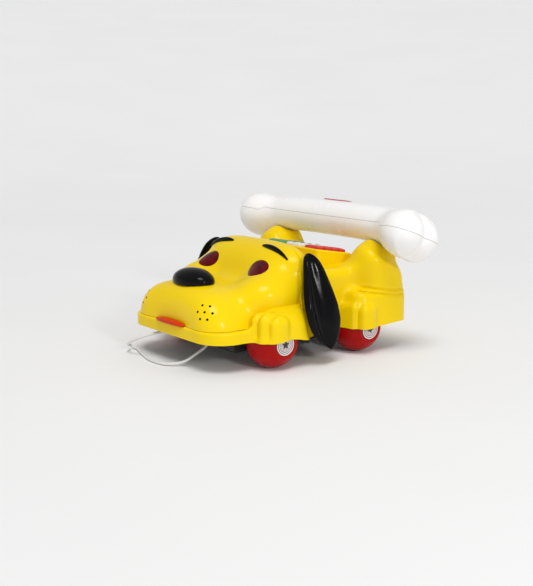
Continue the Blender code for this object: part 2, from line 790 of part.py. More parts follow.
def build_brow(name, sx, black):
    bm = bmesh.new()
    rows, n_len = [], 9
    shape = ((-1.0, 0.3), (-0.75, 1.6), (0, 2.4), (0.75, 1.6), (1.0, 0.3))
    for i in range(n_len):
        t = i / (n_len - 1)
        p, n = brow_point(t, sx)
        q, _ = brow_point(min(t + 0.02, 1.0), sx)
        r, _ = brow_point(max(t - 0.02, 0.0), sx)
        side = (q - r).normalized().cross(n).normalized()
        k = max(0.35, math.sin(math.pi * (0.12 + 0.76 * t))) * 1.9
        rows.append([bm.verts.new(p + side * (u * k) + n * (0.3 + (h - 0.3) * min(1.0, k))) for u, h in shape])
    for a, b in zip(rows, rows[1:]):
        for j in range(4):
            bm.faces.new((a[j], a[j + 1], b[j + 1], b[j]))
        bm.faces.new((a[4], a[0], b[0], b[4]))
    bm.faces.new(rows[0][::-1])
    bm.faces.new(rows[-1])
    return add_node(name, triangulated(bm), black)


def build_tongue(red):
    bm = bmesh.new()
    rows = []
    for i in range(11):
        u = -1 + 2 * i / 10
        k = math.sqrt(max(1 - u * u, 0.02))
        x = 2.0 + 18.2 * u
        y0 = -51.5
        y1 = -53.0 - 4.5 * k
        top = LIP_TOP + 0.4 + 2.9 * k
        rows.append([bm.verts.new(p) for p in ((x, y0 - 0.6, LIP_TOP + 0.35), (x, y1, LIP_TOP + 0.35),
                                                (x, y1 - 0.4, LIP_TOP + 0.9 + 0.8 * k), (x, y0 - 1.6, top))])
    for a, b in zip(rows, rows[1:]):
        for j in range(4):
            bm.faces.new((a[j], a[(j + 1) % 4], b[(j + 1) % 4], b[j]))
    bm.faces.new(rows[0][::-1])
    bm.faces.new(rows[-1])
    return add_node("tongue", triangulated(bm), red)


# ---------------------------------------------------------------- ears

EAR_PIVOT_Y = 37.0
EAR_PIVOT_Z = 74.5
EAR_Z = (11.3, 14.5, 20, 26, 33, 44, 55, 70, 77, 82)
EAR_FRONT = (38.6, 31.5, 25.2, 20.6, 17.6, 16.6, 18.3, 21.6, 22.4, 24.6)
EAR_REAR = (40.5, 43.2, 46.7, 48.2, 49.6, 49.4, 47.2, 43.0, 40.4, 35.5)
EAR_X = (77.6, 77.6, 77.4, 77.0, 76.2, 73.2, 69.4, 64.4, 62.2, 61.4)


def ear_point(z, u, outer, sx):
    """u runs from the rolled front edge (0) to the thin rear edge (1)."""
    y0, y1 = np.interp(z, EAR_Z, EAR_FRONT), np.interp(z, EAR_Z, EAR_REAR)
    x = np.interp(z, EAR_Z, EAR_X)
    size = min(1.0, (y1 - y0) / 22.0)
    roll = 2.6 * math.exp(-((u - 0.12) / 0.13) ** 2)
    fold = -2.2 * math.exp(-((u - 0.42) / 0.2) ** 2) + 0.8 * math.exp(-((u - 0.8) / 0.2) ** 2)
    thick = 1.1 + 0.9 * math.exp(-(u / 0.25) ** 2)
    edge = math.sqrt(max(0.0, 1 - (2 * u - 1) ** 8))
    x += size * (roll + fold) + (thick if outer else -thick) * (0.35 + 0.65 * edge)
    return Vector((sx * x, y0 + (y1 - y0) * u, z))


def build_ear(side, sx, black):
    heights = (11.3, 14, 18.5, 24, 30.5, 38, 46, 54.5, 63, 70.5, 76.5, 80, 82)
    us = (0, 0.05, 0.13, 0.24, 0.4, 0.58, 0.78, 0.93, 1.0)
    bm = bmesh.new()
    loops = []
    for z in heights:
        ring = [bm.verts.new(ear_point(z, u, True, sx)) for u in us]
        ring += [bm.verts.new(ear_point(z, u, False, sx)) for u in us[::-1]]
        loops.append(ring)
    n = len(loops[0])
    for a, b in zip(loops, loops[1:]):
        for k in range(n):
            bm.faces.new((a[k], a[(k + 1) % n], b[(k + 1) % n], b[k]))
    for ring, flip in ((loops[0], True), (loops[-1], False)):
        m = len(us)
        for j in range(m - 1):
            f = (ring[j], ring[j + 1], ring[2 * m - 2 - j], ring[2 * m - 1 - j])
            bm.faces.new(f[::-1] if flip else f)
    return add_node("ear_" + side, triangulated(bm), black, (sx * 60, EAR_PIVOT_Y, EAR_PIVOT_Z))


def ear_pin_outer():
    """Where the pin meets the inner face of the ear."""
    return ear_point(EAR_PIVOT_Z, 0.78, False, 1).x - 0.9


def ear_wall():
    """Half-width of the body shell at the ear's pivot."""
    one = np.ones(1)
    t = outermost(body_field, 0 * one, one * EAR_PIVOT_Y, one * EAR_PIVOT_Z, one, 0 * one, 0 * one, 90.0)
    return float(t[0])


def build_ear_pin(side, sx, metal):
    tip = ear_pin_outer()
    inside = tip - (ear_wall() - WALL - 5.6)
    pts = ((-inside - 1.4, 0), (-inside - 1.4, 3.2), (-inside, 3.2), (-inside, 2.0), (0, 2.0), (0, 0))
    bm = lathe(pts, (sx * tip, EAR_PIVOT_Y, EAR_PIVOT_Z), (sx, 0, 0), 16)
    return add_node("ear_pin_" + side, bm, metal, (sx * 60, EAR_PIVOT_Y, EAR_PIVOT_Z))


def drill_ear_holes(body):
    holes, pockets = [], []
    for sx in (1, -1):
        at = (sx * ear_wall(), EAR_PIVOT_Y, EAR_PIVOT_Z)
        holes.append(lathe(((-12, 0), (-12, 2.08), (6, 2.08), (6, 0)), at, (sx, 0, 0), 16))
        pockets.append(lathe(((-22, 0), (-22, 3.7), (-WALL - 4.9, 3.7), (-WALL - 4.9, 0)), at, (sx, 0, 0), 16))
    return cut(body, [merged(*holes), merged(*pockets)])


# ---------------------------------------------------------------- wheels and underside

def build_wheel(name, sx, y, red):
    pts = [(6.7, 0), (6.7, AXLE_R + 0.3), (-WHEEL_HALF, AXLE_R + 0.3)]
    for k in range(7):
        u = -1 + 2 * k / 6
        r = WHEEL_R * math.sqrt(1 - (u * WHEEL_HALF / 19.0) ** 2)
        pts.append((u * WHEEL_HALF * (0.985 if abs(u) == 1 else 1), r - (0.8 if abs(u) == 1 else 0)))
    pts[3] = (-WHEEL_HALF, pts[3][1])
    pts[-1] = (WHEEL_HALF, pts[-1][1])
    pts.append((WHEEL_HALF, 0))
    bm = lathe([(a * 1.0, r) for a, r in pts], (sx * WHEEL_X, y, WHEEL_R), (sx, 0, 0), 24)
    return add_node(name, bm, red, (0, y, WHEEL_R))


def build_sticker(name, sx, y, mat):
    x = WHEEL_X + WHEEL_HALF + 0.15
    bm = lathe(((0, 0), (0, 7.9), (0.5, 7.9), (0.5, 0)), (sx * x, y, WHEEL_R), (sx, 0, 0), 16)
    return add_node(name, bm, mat, (0, y, WHEEL_R))


def build_axle(name, y, metal):
    half = WHEEL_X + 6.2
    bm = lathe(((-half, 0), (-half, AXLE_R), (half, AXLE_R), (half, 0)), (0, y, WHEEL_R), (1, 0, 0), 24)
    return add_node(name, bm, metal, (0, y, WHEEL_R))


def prism(outline, z0, z1):
    bm = bmesh.new()
    low = [bm.verts.new((x, y, z0)) for x, y in outline]
    high = [bm.verts.new((x, y, z1)) for x, y in outline]
    bm.faces.new(low[::-1])
    bm.faces.new(high)
    for i in range(len(low)):
        j = (i + 1) % len(low)
        bm.faces.new((low[i], low[j], high[j], high[i]))
    bmesh.ops.recalc_face_normals(bm, faces=bm.faces)
    return bm


def flange_outline():
    half = [(0, -50), (32, -49.5), (44, -46), (51, -38), (54, -30), (53, -24), (40, -22.5), (38, -22),
            (38, 22.5), (50, 25), (53, 27), (53, 60), (38, 62), (38, 106), (52, 106.5), (54, 110), (50, 112.5),
            (0, 112.5)]
    return half + [(-x, y) for x, y in half[::-1] if x > 0]


def build_base(black):
    ob = add_node("base_plate", prism(flange_outline(), 23.4, 25.4), black)
    tray = box_bm(-BASE_HALF, BASE_HALF, BASE_FRONT, BASE_REAR, BASE_BOTTOM, 24.4)
    bevelled(tray, 2.0, 1, [e for e in tray.edges if max(v.co.z for v in e.verts) < 15])
    cut(ob, [tray], "UNION")
    hollow = box_bm(-BASE_HALF + 2, BASE_HALF - 2, BASE_FRONT + 2, BASE_REAR - 2, BASE_BOTTOM + 2, 40)
    door = box_bm(-DOOR_HALF_X, DOOR_HALF_X, DOOR_Y0, DOOR_Y1, BASE_BOTTOM - 5, 18)
    bores = [lathe(((-50, 0), (-50, AXLE_R + AXLE_FIT), (50, AXLE_R + AXLE_FIT), (50, 0)),
                   (0, y, WHEEL_R), (1, 0, 0), 24) for y in (0.0, WHEELBASE)]
    slot = box_bm(-7, 7, 96, 101, BASE_BOTTOM - 3, 20)
    cut(ob, [hollow, door, slot] + bores)
    return ob


def build_underside(black, steel, brass, cell, label, red):
    obs = [build_base(black)]
    door = box_bm(-DOOR_HALF_X + 0.3, DOOR_HALF_X - 0.3, DOOR_Y0 + 0.3, DOOR_Y1 - 0.3, BASE_BOTTOM,
                  BASE_BOTTOM + 1.8)
    obs.append(add_node("battery_door", door, black))
    hole = lathe(((-4, 0), (-4, 1.7), (4, 1.7), (4, 0)), (0, DOOR_Y1 - 5, BASE_BOTTOM), (0, 0, 1), 12)
    cut(obs[-1], [hole])
    obs.append(add_node("door_screw", lathe(((-1.5, 0), (-1.5, 3.0), (-0.3, 3.0), (-0.3, 1.4), (3.2, 1.4),
                                             (3.2, 0)), (0, DOOR_Y1 - 5, BASE_BOTTOM), (0, 0, 1), 12), steel))
    for k in range(2):
        y = DOOR_Y0 + 13.0 + 17.0 * k
        c = (0, y, BASE_BOTTOM + 2.2 + 7.25)
        pts = ((-24.6, 0), (-24.6, 7.25), (24.2, 7.25), (24.2, 2.7), (25.6, 2.7), (25.6, 0))
        obs.append(add_node("battery_%d" % (k + 1), lathe(pts, c, ((-1) ** k, 0, 0), 16), cell))
    for side, sx in (("l", 1), ("r", -1)):
        x0, x1 = sorted((sx * 26.4, sx * 26.9))
        obs.append(add_node("battery_contact_" + side,
                            box_bm(x0, x1, DOOR_Y0 + 2, DOOR_Y1 - 11, 15.5, 27.5), brass))
    for k, (x, y) in enumerate(((46, -36), (-46, -36), (46, 42), (-46, 42))):
        head = lathe(((-1.9, 0), (-1.5, 2.9), (-0.3, 2.9), (-0.3, 0)), (x, y, 23.4), (0, 0, 1), 10)
        obs.append(add_node("case_screw_%d" % (k + 1), head, steel, (x, y, 23.4)))
    obs.append(add_node("power_switch", merged(box_bm(-3, 0.6, 96.6, 100.4, BASE_BOTTOM - 1.2, 15.2)), red,
                        (-1.2, 98.5, BASE_BOTTOM)))
    cut(obs[-1], [box_bm(-4.6, 2.2, 94.9, 102.1, 14.4, 16.0)], "UNION")
    obs.append(add_node("cord_anchor", box_bm(-14.5, 14.5, -26.5, -21.5, 18.6, 23.1), black))
    return obs


# ---------------------------------------------------------------- handset

SEAM_STEP_X = 76.0


def bone_seam(x):
    return 4.0 * float(ease((SEAM_STEP_X - abs(x)) / 6.0))


def to_world(p):
    """From the bone's own frame (x, v across, w up) to the row."""
    x, v, w = p
    c, s = math.cos(BONE_TILT), math.sin(BONE_TILT)
    return Vector((x, BONE_Y + v * c + w * s, BONE_Z - v * s + w * c))


def bone_ring(n_mid, n_end):
    """Stations round the bone: out along one side, round an end, back, and round the other."""
    x_end = 86.0
    mid = np.linspace(-x_end, x_end, n_mid)
    n = len(mid)
    front = (mid, np.zeros(n), np.zeros(n), -np.ones(n))
    right = fan(x_end, 0.0, -90, 90, n_end)
    back = (mid[::-1], np.zeros(n), np.zeros(n), np.ones(n))
    left = fan(-x_end, 0.0, 90, 270, n_end)
    parts = [front, tuple(a[1:] for a in right), tuple(a[1:] for a in back), tuple(a[1:] for a in left)]
    return tuple(np.concatenate([p[k] for p in parts]) for k in range(4))


def bone_half(up, n_mid, n_end, n_prof):
    st = bone_ring(n_mid, n_end)

    def field(x, v, w):
        return bone_field(x, v, w)

    seam = np.array([bone_seam(x) for x in st[0]])
    gap = 0.15 * up
    arch = bone_arch(st[0])
    zc = arch + 1.0 * up + 0 * seam
    zc = np.where(up * (zc - seam) < 0.5, seam + 0.5 * up, zc)
    lines = profiles(field, st, seam + gap, 5.0, zc, up=up, counts=(8, 18, 12), reach=34.0)
    return [np.array([resample(q, n_prof) for q in lines])]


def build_bone_half(name, up, mat):
    bm = sheet_solid(bone_half(up, 11, 9, 6), bone_field, 2.0, level_rim=lambda c: 2)
    for v in bm.verts:
        v.co = to_world(v.co)
    bmesh.ops.recalc_face_normals(bm, faces=bm.faces)
    return add_node(name, triangulated(bm), mat, (0, BONE_Y, BONE_Z))


def build_badge(red):
    bm = bmesh.new()
    rows = []
    for i in range(7):
        x = -15 + 5 * i
        arch = float(bone_arch(x))
        ring = []
        for r, order in ((SHAFT_R + 0.25, 1), (SHAFT_R + 1.05, -1)):
            for a in (-20, -7, 7, 20)[::order]:
                t = math.radians(a) * (0.75 if i in (0, 6) else 1.0)
                ring.append(bm.verts.new(to_world((x, r * math.sin(t), arch + r * math.cos(t)))))
        rows.append(ring)
    for a, b in zip(rows, rows[1:]):
        for k in range(8):
            bm.faces.new((a[k], a[(k + 1) % 8], b[(k + 1) % 8], b[k]))
    bm.faces.new(rows[0][::-1])
    bm.faces.new(rows[-1])
    return add_node("handset_badge", triangulated(bm), red, (0, BONE_Y, BONE_Z))


def build_handset(white, red):
    obs = [build_bone_half("handset_top", 1.0, white), build_bone_half("handset_bottom", -1.0, white)]
    obs.append(build_badge(red))
    return obs


# ---------------------------------------------------------------- pull cord

CORD_ROUTE = ((-12.0, -28.0, 20.6), (-14.5, -34.0, 20.0), (-20.0, -49.0, 19.2), (-30.0, -59.5, 15.0),
              (-44.5, -62.0, 8.0), (-54.8, -54.5, 3.2), (-50.5, -51.5, 1.4), (-36.5, -55.9, 1.2),
              (-13.4, -62.0, 1.2), (4.8, -60.2, 1.3), (14.0, -50.5, 3.0), (18.5, -42.0, 8.5),
              (20.5, -33.0, 14.6), (16.5, -28.5, 18.6), (12.0, -28.0, 20.6))


def smooth_route(points, n):
    """Catmull-Rom curve through the points, evenly spaced."""
    p = [Vector(q) for q in points]
    p = [p[0] * 2 - p[1]] + p + [p[-1] * 2 - p[-2]]
    dense = []
    for a, b, c, d in zip(p, p[1:], p[2:], p[3:]):
        for k in range(20):
            t = k / 20
            dense.append(0.5 * ((b * 2) + (c - a) * t + (a * 2 - b * 5 + c * 4 - d) * t * t
                                + (b * 3 - a - c * 3 + d) * t * t * t))
    dense.append(p[-2])
    return resample(np.array([q[:] for q in dense]), n)


def build_cord(white):
    line = smooth_route(CORD_ROUTE, 62)
    line[:, 2] = np.maximum(line[:, 2], CORD_R + 0.1)
    cu = bpy.data.curves.new("pull_cord", "CURVE")
    cu.dimensions = "3D"
    cu.bevel_depth = CORD_R * MM
    cu.bevel_resolution = 2
    cu.use_fill_caps = True
    sp = cu.splines.new("POLY")
    sp.points.add(len(line) - 1)
    for q, p in zip(sp.points, line):
        q.co = (*place(p), 1.0)
    cu.materials.append(white)
    ob = bpy.data.objects.new("pull_cord", cu)
    bpy.context.scene.collection.objects.link(ob)
    return ob


def main():
    for ob in list(bpy.data.objects):
        bpy.data.objects.remove(ob)
    yellow = material("yellow_abs", (0.93, 0.70, 0.02, 1), 0.28)
    black = material("black_gloss", (0.012, 0.012, 0.014, 1), 0.22)
    matt_black = material("black_matt", (0.02, 0.02, 0.02, 1), 0.6)
    red = material("red_abs", (0.55, 0.015, 0.015, 1), 0.3)
    lens = material("red_lens", (0.25, 0.0, 0.01, 1), 0.08)
    white = material("white_abs", (0.86, 0.85, 0.84, 1), 0.3)
    cord = material("white_cord", (0.8, 0.79, 0.76, 1), 0.8)
    steel = material("zinc_steel", (0.6, 0.6, 0.6, 1), 0.35, 1.0)
    brass = material("plated_contact", (0.6, 0.55, 0.42, 1), 0.35, 1.0)
    grey = material("grey_rubber", (0.3, 0.3, 0.3, 1), 0.8)
    green = material("board_green", (0.03, 0.2, 0.08, 1), 0.45)
    cell = material("cell_wrap", (0.05, 0.09, 0.2, 1), 0.4)
    paper = material("sticker_paper", (0.75, 0.68, 0.66, 1), 0.5)
    tongue = material("tongue_red", (0.75, 0.05, 0.02, 1), 0.4)

    drill_ear_holes(build_body(yellow))
    drill_face(build_face(yellow))
    build_console(yellow)
    build_keys()
    build_electronics(grey, green, matt_black, lens)
    for side, sx in (("l", 1), ("r", -1)):
        n, a, b = eye_frame(sx)
        c = eye_centre(sx)
        levels = ((-3.4, 0.96), (0.2, 0.96), (1.3, 0.72), (1.8, 0.35))
        add_node("eye_lens_" + side, oval_solid(c, n, a, b, EYE_HALF_X, EYE_HALF_S, levels, 20), lens)
        build_brow("brow_" + side, sx, black)
        build_ear(side, sx, black)
        build_ear_pin(side, sx, black)
        for pos, y in (("front", 0.0), ("rear", WHEELBASE)):
            build_wheel("wheel_%s_%s" % (pos, side), sx, y, red)
            build_sticker("hub_sticker_%s_%s" % (pos, side), sx, y, paper)
    build_nose(black)
    build_tongue(tongue)
    build_axle("axle_front", 0.0, steel)
    build_axle("axle_rear", WHEELBASE, steel)
    build_underside(matt_black, steel, brass, cell, paper, red)
    build_handset(white, red)
    build_cord(cord)


main()
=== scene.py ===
"""Pull-along dog telephone: the finished surfaces, materials, floor, lights and camera."""
import json
import math

import bmesh
import bpy
import numpy as np
from mathutils import Matrix, Vector

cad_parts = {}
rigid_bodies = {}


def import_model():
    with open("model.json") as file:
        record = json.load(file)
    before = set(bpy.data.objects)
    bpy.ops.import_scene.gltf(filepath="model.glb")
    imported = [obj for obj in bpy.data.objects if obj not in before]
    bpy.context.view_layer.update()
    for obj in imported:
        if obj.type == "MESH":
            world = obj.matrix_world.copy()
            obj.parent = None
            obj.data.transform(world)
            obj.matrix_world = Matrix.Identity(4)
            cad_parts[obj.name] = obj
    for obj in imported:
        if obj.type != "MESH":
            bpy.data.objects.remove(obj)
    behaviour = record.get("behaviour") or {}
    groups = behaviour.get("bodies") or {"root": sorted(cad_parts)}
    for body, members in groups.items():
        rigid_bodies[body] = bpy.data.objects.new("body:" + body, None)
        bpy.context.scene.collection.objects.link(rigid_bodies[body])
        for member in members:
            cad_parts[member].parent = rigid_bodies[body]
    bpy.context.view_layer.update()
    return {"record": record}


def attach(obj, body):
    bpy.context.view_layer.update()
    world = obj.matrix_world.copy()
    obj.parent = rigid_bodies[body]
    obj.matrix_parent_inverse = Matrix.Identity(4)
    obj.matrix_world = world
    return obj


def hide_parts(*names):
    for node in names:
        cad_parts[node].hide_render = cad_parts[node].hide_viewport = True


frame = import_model()
RECORD = frame["record"]
BODY_OF = {n: b for b, nodes in RECORD["behaviour"]["bodies"].items() for n in nodes}

MM = 0.001
AXLE_TO_ORIGIN = 37.0       # the front axle is this far in front of the row's origin

WHEEL_R = 19.5              # rolling radius
WHEEL_X = 56.3              # middle of each wheel
WHEEL_HALF = 15.7
WHEELBASE = 84.6
AXLE_R = 2.0

WALL = 2.2                  # moulded wall of the yellow shells
SEAM_Y = 33.0               # the face moulding ends here, over the crown
SEAM_GAP = 0.4
LIP_TOP = 31.0
LIP_FRONT = -54.0
LIP_HALF = 59.5
LEDGE = 7.0                 # shelf inside the lip that carries the face moulding
HEAD_HALF = 59.0
DECK_TOP = 66.5
TRUNK_HALF = 57.0

CONSOLE_HALF = 35.4
CONSOLE_FRONT = 61.0
CONSOLE_REAR = 100.0
CONSOLE_TOP = 79.6          # height at its front edge
CONSOLE_FALL = 0.17         # how far the top falls for each unit rearwards
KEY_PITCH_X = 23.2
KEY_PITCH_S = 7.9
KEY_HALF_X = 8.3
KEY_HALF_S = 3.0
KEY_PROUD = 2.2
KEY_GAP = 0.35

BONE_Y = 108.0              # middle of the handset
BONE_Z = 92.0
BONE_TILT = math.radians(22.0)
LOBE_X = 88.6
LOBE_V = 8.4
LOBE_R = 16.8
SHAFT_R = 14.4
SHAFT_ARCH = 6.3
BONE_CLEAR = 1.7            # play round the handset in its two saddles

EYE = (31.8, 9.2, 65.4)
EYE_HALF_X = 10.4
EYE_HALF_S = 8.4
NOSE = (0.0, -30.5, 60.5)

CORD_R = 1.05


BONE_CLEAR = 0.3
SEAM_GAP = 0.22
TUCK = 1.2                  # how far the face and body mouldings run behind each other

# ---------------------------------------------------------------- solid fields

def ball(x, y, z, c, r):
    qx, qy, qz = (x - c[0]) / r[0], (y - c[1]) / r[1], (z - c[2]) / r[2]
    k0 = np.sqrt(qx * qx + qy * qy + qz * qz)
    k1 = np.sqrt((qx / r[0]) ** 2 + (qy / r[1]) ** 2 + (qz / r[2]) ** 2) + 1e-9
    return k0 * (k0 - 1) / k1


def blend_min(a, b, k):
    h = np.maximum(k - np.abs(a - b), 0) / k
    return np.minimum(a, b) - h * h * k * 0.25


def blend_max(a, b, k):
    return -blend_min(-a, -b, k)


def ease(t):
    t = np.clip(t, 0, 1)
    return t * t * (3 - 2 * t)


def rounded_plan(x, y, half_x, y0, y1, r):
    ax = np.abs(x) - half_x + r
    ay = np.abs(y - (y0 + y1) / 2) - (y1 - y0) / 2 + r
    outside = np.sqrt(np.maximum(ax, 0) ** 2 + np.maximum(ay, 0) ** 2)
    return outside + np.minimum(np.maximum(ax, ay), 0) - r


def skull(x, y, z):
    zc = 50.0
    side = (np.abs(x) / HEAD_HALF) ** 4 + (np.abs(z - zc) / np.where(z > zc, 37.0, 60.0)) ** 4
    return (np.sqrt(np.sqrt(side + 1e-12) + ((y - 32) / 29.0) ** 2 + 1e-9) - 1) * 30.0


def face_field(x, y, z):
    ax = np.abs(x)
    d = blend_min(skull(x, y, z), ball(ax, y, z, (40, 9, 50), (21, 25, 17)), 9)
    plan = rounded_plan(x, y + 0.0018 * x * x, 55.5, -51.0, 40, 24)
    top = z - (61.0 - 0.0046 * x * x - 0.06 * (y + 34))
    return blend_min(d, blend_max(plan, top, 24), 12)


def trunk(x, y, z):
    return blend_max(rounded_plan(x, y, TRUNK_HALF, 10, 116, 14), z - DECK_TOP, 8)


def haunch(ax, y, z):
    knee = ball(ax, y, z, (58.0, 96.5, 67), (12.3, 11.5, 19.6))
    low = blend_max(np.abs(ax - 59.5) - 16.0, np.abs(y - 103.5) - 19.0, 15)
    low = blend_max(low, z - (77 - 0.5 * (y - 97)), 12)
    saddle = blend_max(np.abs(ax - 57) - (12.5 + 0.12 * (78 - z)), np.abs(y - 106) - 11.5, 10)
    saddle = blend_max(saddle, z - 84.0, 7)
    return blend_min(blend_min(knee, low, 7), saddle, 4)


def bone_frame(y, z):
    dy, dz = y - BONE_Y, z - BONE_Z
    v = dy * math.cos(BONE_TILT) - dz * math.sin(BONE_TILT)
    w = dy * math.sin(BONE_TILT) + dz * math.cos(BONE_TILT)
    return v, w


def bone_arch(x):
    """Rise of the shaft's middle line."""
    return SHAFT_ARCH * (1 - np.clip(np.abs(x) / LOBE_X, 0, 1) ** 4)


def bone_field(x, v, w):
    u = np.clip(np.abs(x) / LOBE_X, 0, 1)
    ax = np.abs(x)
    radius = SHAFT_R + 1.3 * u ** 3
    shaft = blend_max(np.sqrt(v * v + (w - bone_arch(x)) ** 2) - radius, ax - LOBE_X, 2)
    fore = np.sqrt((ax - LOBE_X) ** 2 + (v + LOBE_V) ** 2 + w * w) - LOBE_R
    aft = np.sqrt((ax - LOBE_X) ** 2 + (v - LOBE_V) ** 2 + w * w) - LOBE_R
    return blend_min(shaft, blend_min(fore, aft, 1.4), 12)


def lower_edge(y):
    return (22.2 + 1.5 * ease((y + 20) / 20) - 4.2 * ease((y - 2) / 26)
            + 3.5 * ease((y - 32) / 12) - 1.5 * ease((y - 55) / 10) + 1.5 * ease((y - 85) / 25))


def toes(ax, y, z, y0, z0):
    """Three rounded toes side by side round the outer front corner of a paw."""
    d = None
    for cx, cy, cz, r in ((58.5, 0, -0.5, 4.3), (66.0, 1.6, 0, 4.5), (72.6, 6.2, -1.6, 4.3)):
        e = np.sqrt((ax - cx) ** 2 + ((y - (y0 + cy)) / 1.9) ** 2) - r
        e = blend_max(e, z - (z0 + cz), 8)
        d = e if d is None else blend_min(d, e, 0.8)
    return d


def foreleg(ax, y, z):
    arm = blend_max(np.abs(ax - 61) - 14.0, np.abs(y - 4.5) - 20.0, 14)
    arm = blend_max(arm, z - (42.0 - 0.10 * (ax - 60)), 12)
    skirt = blend_max(blend_max(np.abs(ax - 61) - 14.0, np.abs(y - 1.0) - 21.0, 14), z - 27.0, 5)
    d = blend_min(blend_min(arm, skirt, 3), toes(ax - 1.0, y, z, -12.6, 44.5), 1.6)
    side = 68 + 5 * ease((30 - z) / 14) - 9 * ease((y - 17) / 18)
    flare = blend_max(ax - side, np.abs(y - 17) - 23, 8)
    return blend_min(d, blend_max(flare, z - 45, 12), 6)


def hindleg(ax, y, z):
    d = blend_max(np.abs(ax - 60) - 15.5, np.abs(y - 97.0) - 26.5, 14)
    d = blend_max(d, z - 51, 10)
    return blend_min(d, toes(ax - 2.6, y, z, 73.4, 43.5), 2)


def thigh_lines(y):
    """Heights of the two creases across the thigh."""
    upper = 56.5 - 0.28 * (y - 62) + 0.0022 * (y - 62) ** 2
    return upper, upper - 3.6


def body_field(x, y, z):
    ax = np.abs(x)
    d = blend_min(trunk(x, y, z), skull(x, 32 + (y - 32) * 1.7, z), 8)
    d = blend_min(d, haunch(ax, y, z), 13)
    d = blend_min(d, hindleg(ax, y, z), 4)
    for line in thigh_lines(y):
        fade = ease((ax - 58) / 8) * ease((y - 72) / 8) * ease((123 - y) / 8)
        d = d + 1.0 * fade * np.exp(-((z - line) / 0.75) ** 2)
    lip = blend_max(rounded_plan(x, y, LIP_HALF, LIP_FRONT, 40, 22), np.abs(z - 20.0) - 11.0, 2)
    d = np.minimum(d, lip)
    d = blend_min(d, foreleg(ax, y, z), 4)
    v, w = bone_frame(y, z)
    return blend_max(d, BONE_CLEAR - bone_field(x, v, w), 0.4)


# ---------------------------------------------------------------- sheets cast on a field

def fan(cx, cy, a0, a1, n):
    a = np.radians(np.linspace(a0, a1, n))
    return np.full(n, cx), np.full(n, cy), np.cos(a), np.sin(a)


def outermost(field, px, py, pz, dx, dy, dz, reach, step=1.5):
    """Distance along each ray to the last place where it leaves the solid."""
    t = np.arange(0.0, reach, step)
    f = field(px[..., None] + dx[..., None] * t, py[..., None] + dy[..., None] * t,
              pz[..., None] + dz[..., None] * t)
    inside = f < 0
    last = inside.shape[-1] - 1 - np.argmax(inside[..., ::-1], axis=-1)
    lo = np.where(inside.any(axis=-1), t[last], 0.0)
    hi = lo + step
    for _ in range(12):
        mid = (lo + hi) / 2
        neg = field(px + dx * mid, py + dy * mid, pz + dz * mid) < 0
        lo = np.where(neg, mid, lo)
        hi = np.where(neg, hi, mid)
    return (lo + hi) / 2


def profiles(field, st, z0, rc, zc, up=1.0, counts=(20, 16, 44), reach=60.0):
    """One outline per station, from its lower edge over the top to the ridge.

    st holds each station's plan origin and outward direction; z0, rc and zc give the lower edge and the
    inner corner the rays leave from.
    """
    ox, oy, ex, ey = [a[:, None] for a in st]
    z0, rc, zc = [np.broadcast_to(np.asarray(a, float), st[0].shape)[:, None] for a in (z0, rc, zc)]
    side = np.linspace(0, 1, counts[0])[None]
    turn = np.linspace(0, math.pi / 2, counts[1] + 2)[1:-1][None]
    back = np.linspace(0, 1, counts[2])[None]
    one = np.ones_like(side + z0)
    r = np.concatenate([rc * one, rc + 0 * turn, rc * (1 - back)], axis=1)
    z = np.concatenate([z0 + (zc - z0) * side, zc + 0 * turn, zc + 0 * back], axis=1)
    dr = np.concatenate([one, np.cos(turn) + 0 * zc, 0 * back + 0 * zc], axis=1)
    dz = np.concatenate([0 * one, np.sin(turn) + 0 * zc, 1 + 0 * back + 0 * zc], axis=1) * up
    t = outermost(field, ox + ex * r, oy + ey * r, z, ex * dr, ey * dr, dz, reach)
    return np.stack([ox + ex * (r + dr * t), oy + ey * (r + dr * t), z + dz * t], axis=-1)


def resample(line, n, bias=None):
    seg = np.linalg.norm(np.diff(line, axis=0), axis=1)
    s = np.concatenate([[0], np.cumsum(seg)])
    q = np.linspace(0, 1, n) if bias is None else bias
    return np.stack([np.interp(q * s[-1], s, line[:, k]) for k in range(3)], axis=-1)


def normals(field, p, e=0.25):
    g = np.zeros_like(p)
    for k in range(3):
        d = np.zeros(3)
        d[k] = e
        a, b = p + d, p - d
        g[..., k] = field(a[..., 0], a[..., 1], a[..., 2]) - field(b[..., 0], b[..., 1], b[..., 2])
    return g / (np.linalg.norm(g, axis=-1, keepdims=True) + 1e-12)


SEAM_LINE = ((-60, 31.15), (-30, 31.15), (-19, 42.5), (16, 45.0), (21, 47.0), (25, 51.0), (29, 54.0),
             (33, 56.0))


def seam_height(y):
    ys, zs = zip(*SEAM_LINE)
    return np.interp(y, ys, zs)


def reach_out(field, st, z):
    """Plan distance from each station's origin to the outline at one height."""
    ox, oy, ex, ey = st
    zz = np.full_like(ox, float(z))
    return outermost(field, ox, oy, zz, ex, ey, 0 * ex, 100.0)


CONSOLE_MID = (CONSOLE_FRONT + CONSOLE_REAR) / 2
SLOPE = math.atan(CONSOLE_FALL)


def on_slope(p):
    """Point given as (x, distance down the slope, height over the console top)."""
    x, s, n = p
    top = CONSOLE_TOP - CONSOLE_FALL * (CONSOLE_MID - CONSOLE_FRONT)
    return Vector((x, CONSOLE_MID + s * math.cos(SLOPE) + n * math.sin(SLOPE),
                   top - s * math.sin(SLOPE) + n * math.cos(SLOPE)))


def key_centres():
    out = []
    for row in range(4):
        for col in range(3):
            out.append(((1 - col) * KEY_PITCH_X, (row - 1.5) * KEY_PITCH_S))
    return out


def eye_normal(sx):
    e = 0.3
    p = np.array([EYE[0], EYE[1], EYE[2]])
    n = normals(face_field, p[None], e)[0]
    return Vector((sx * n[0], n[1], n[2]))


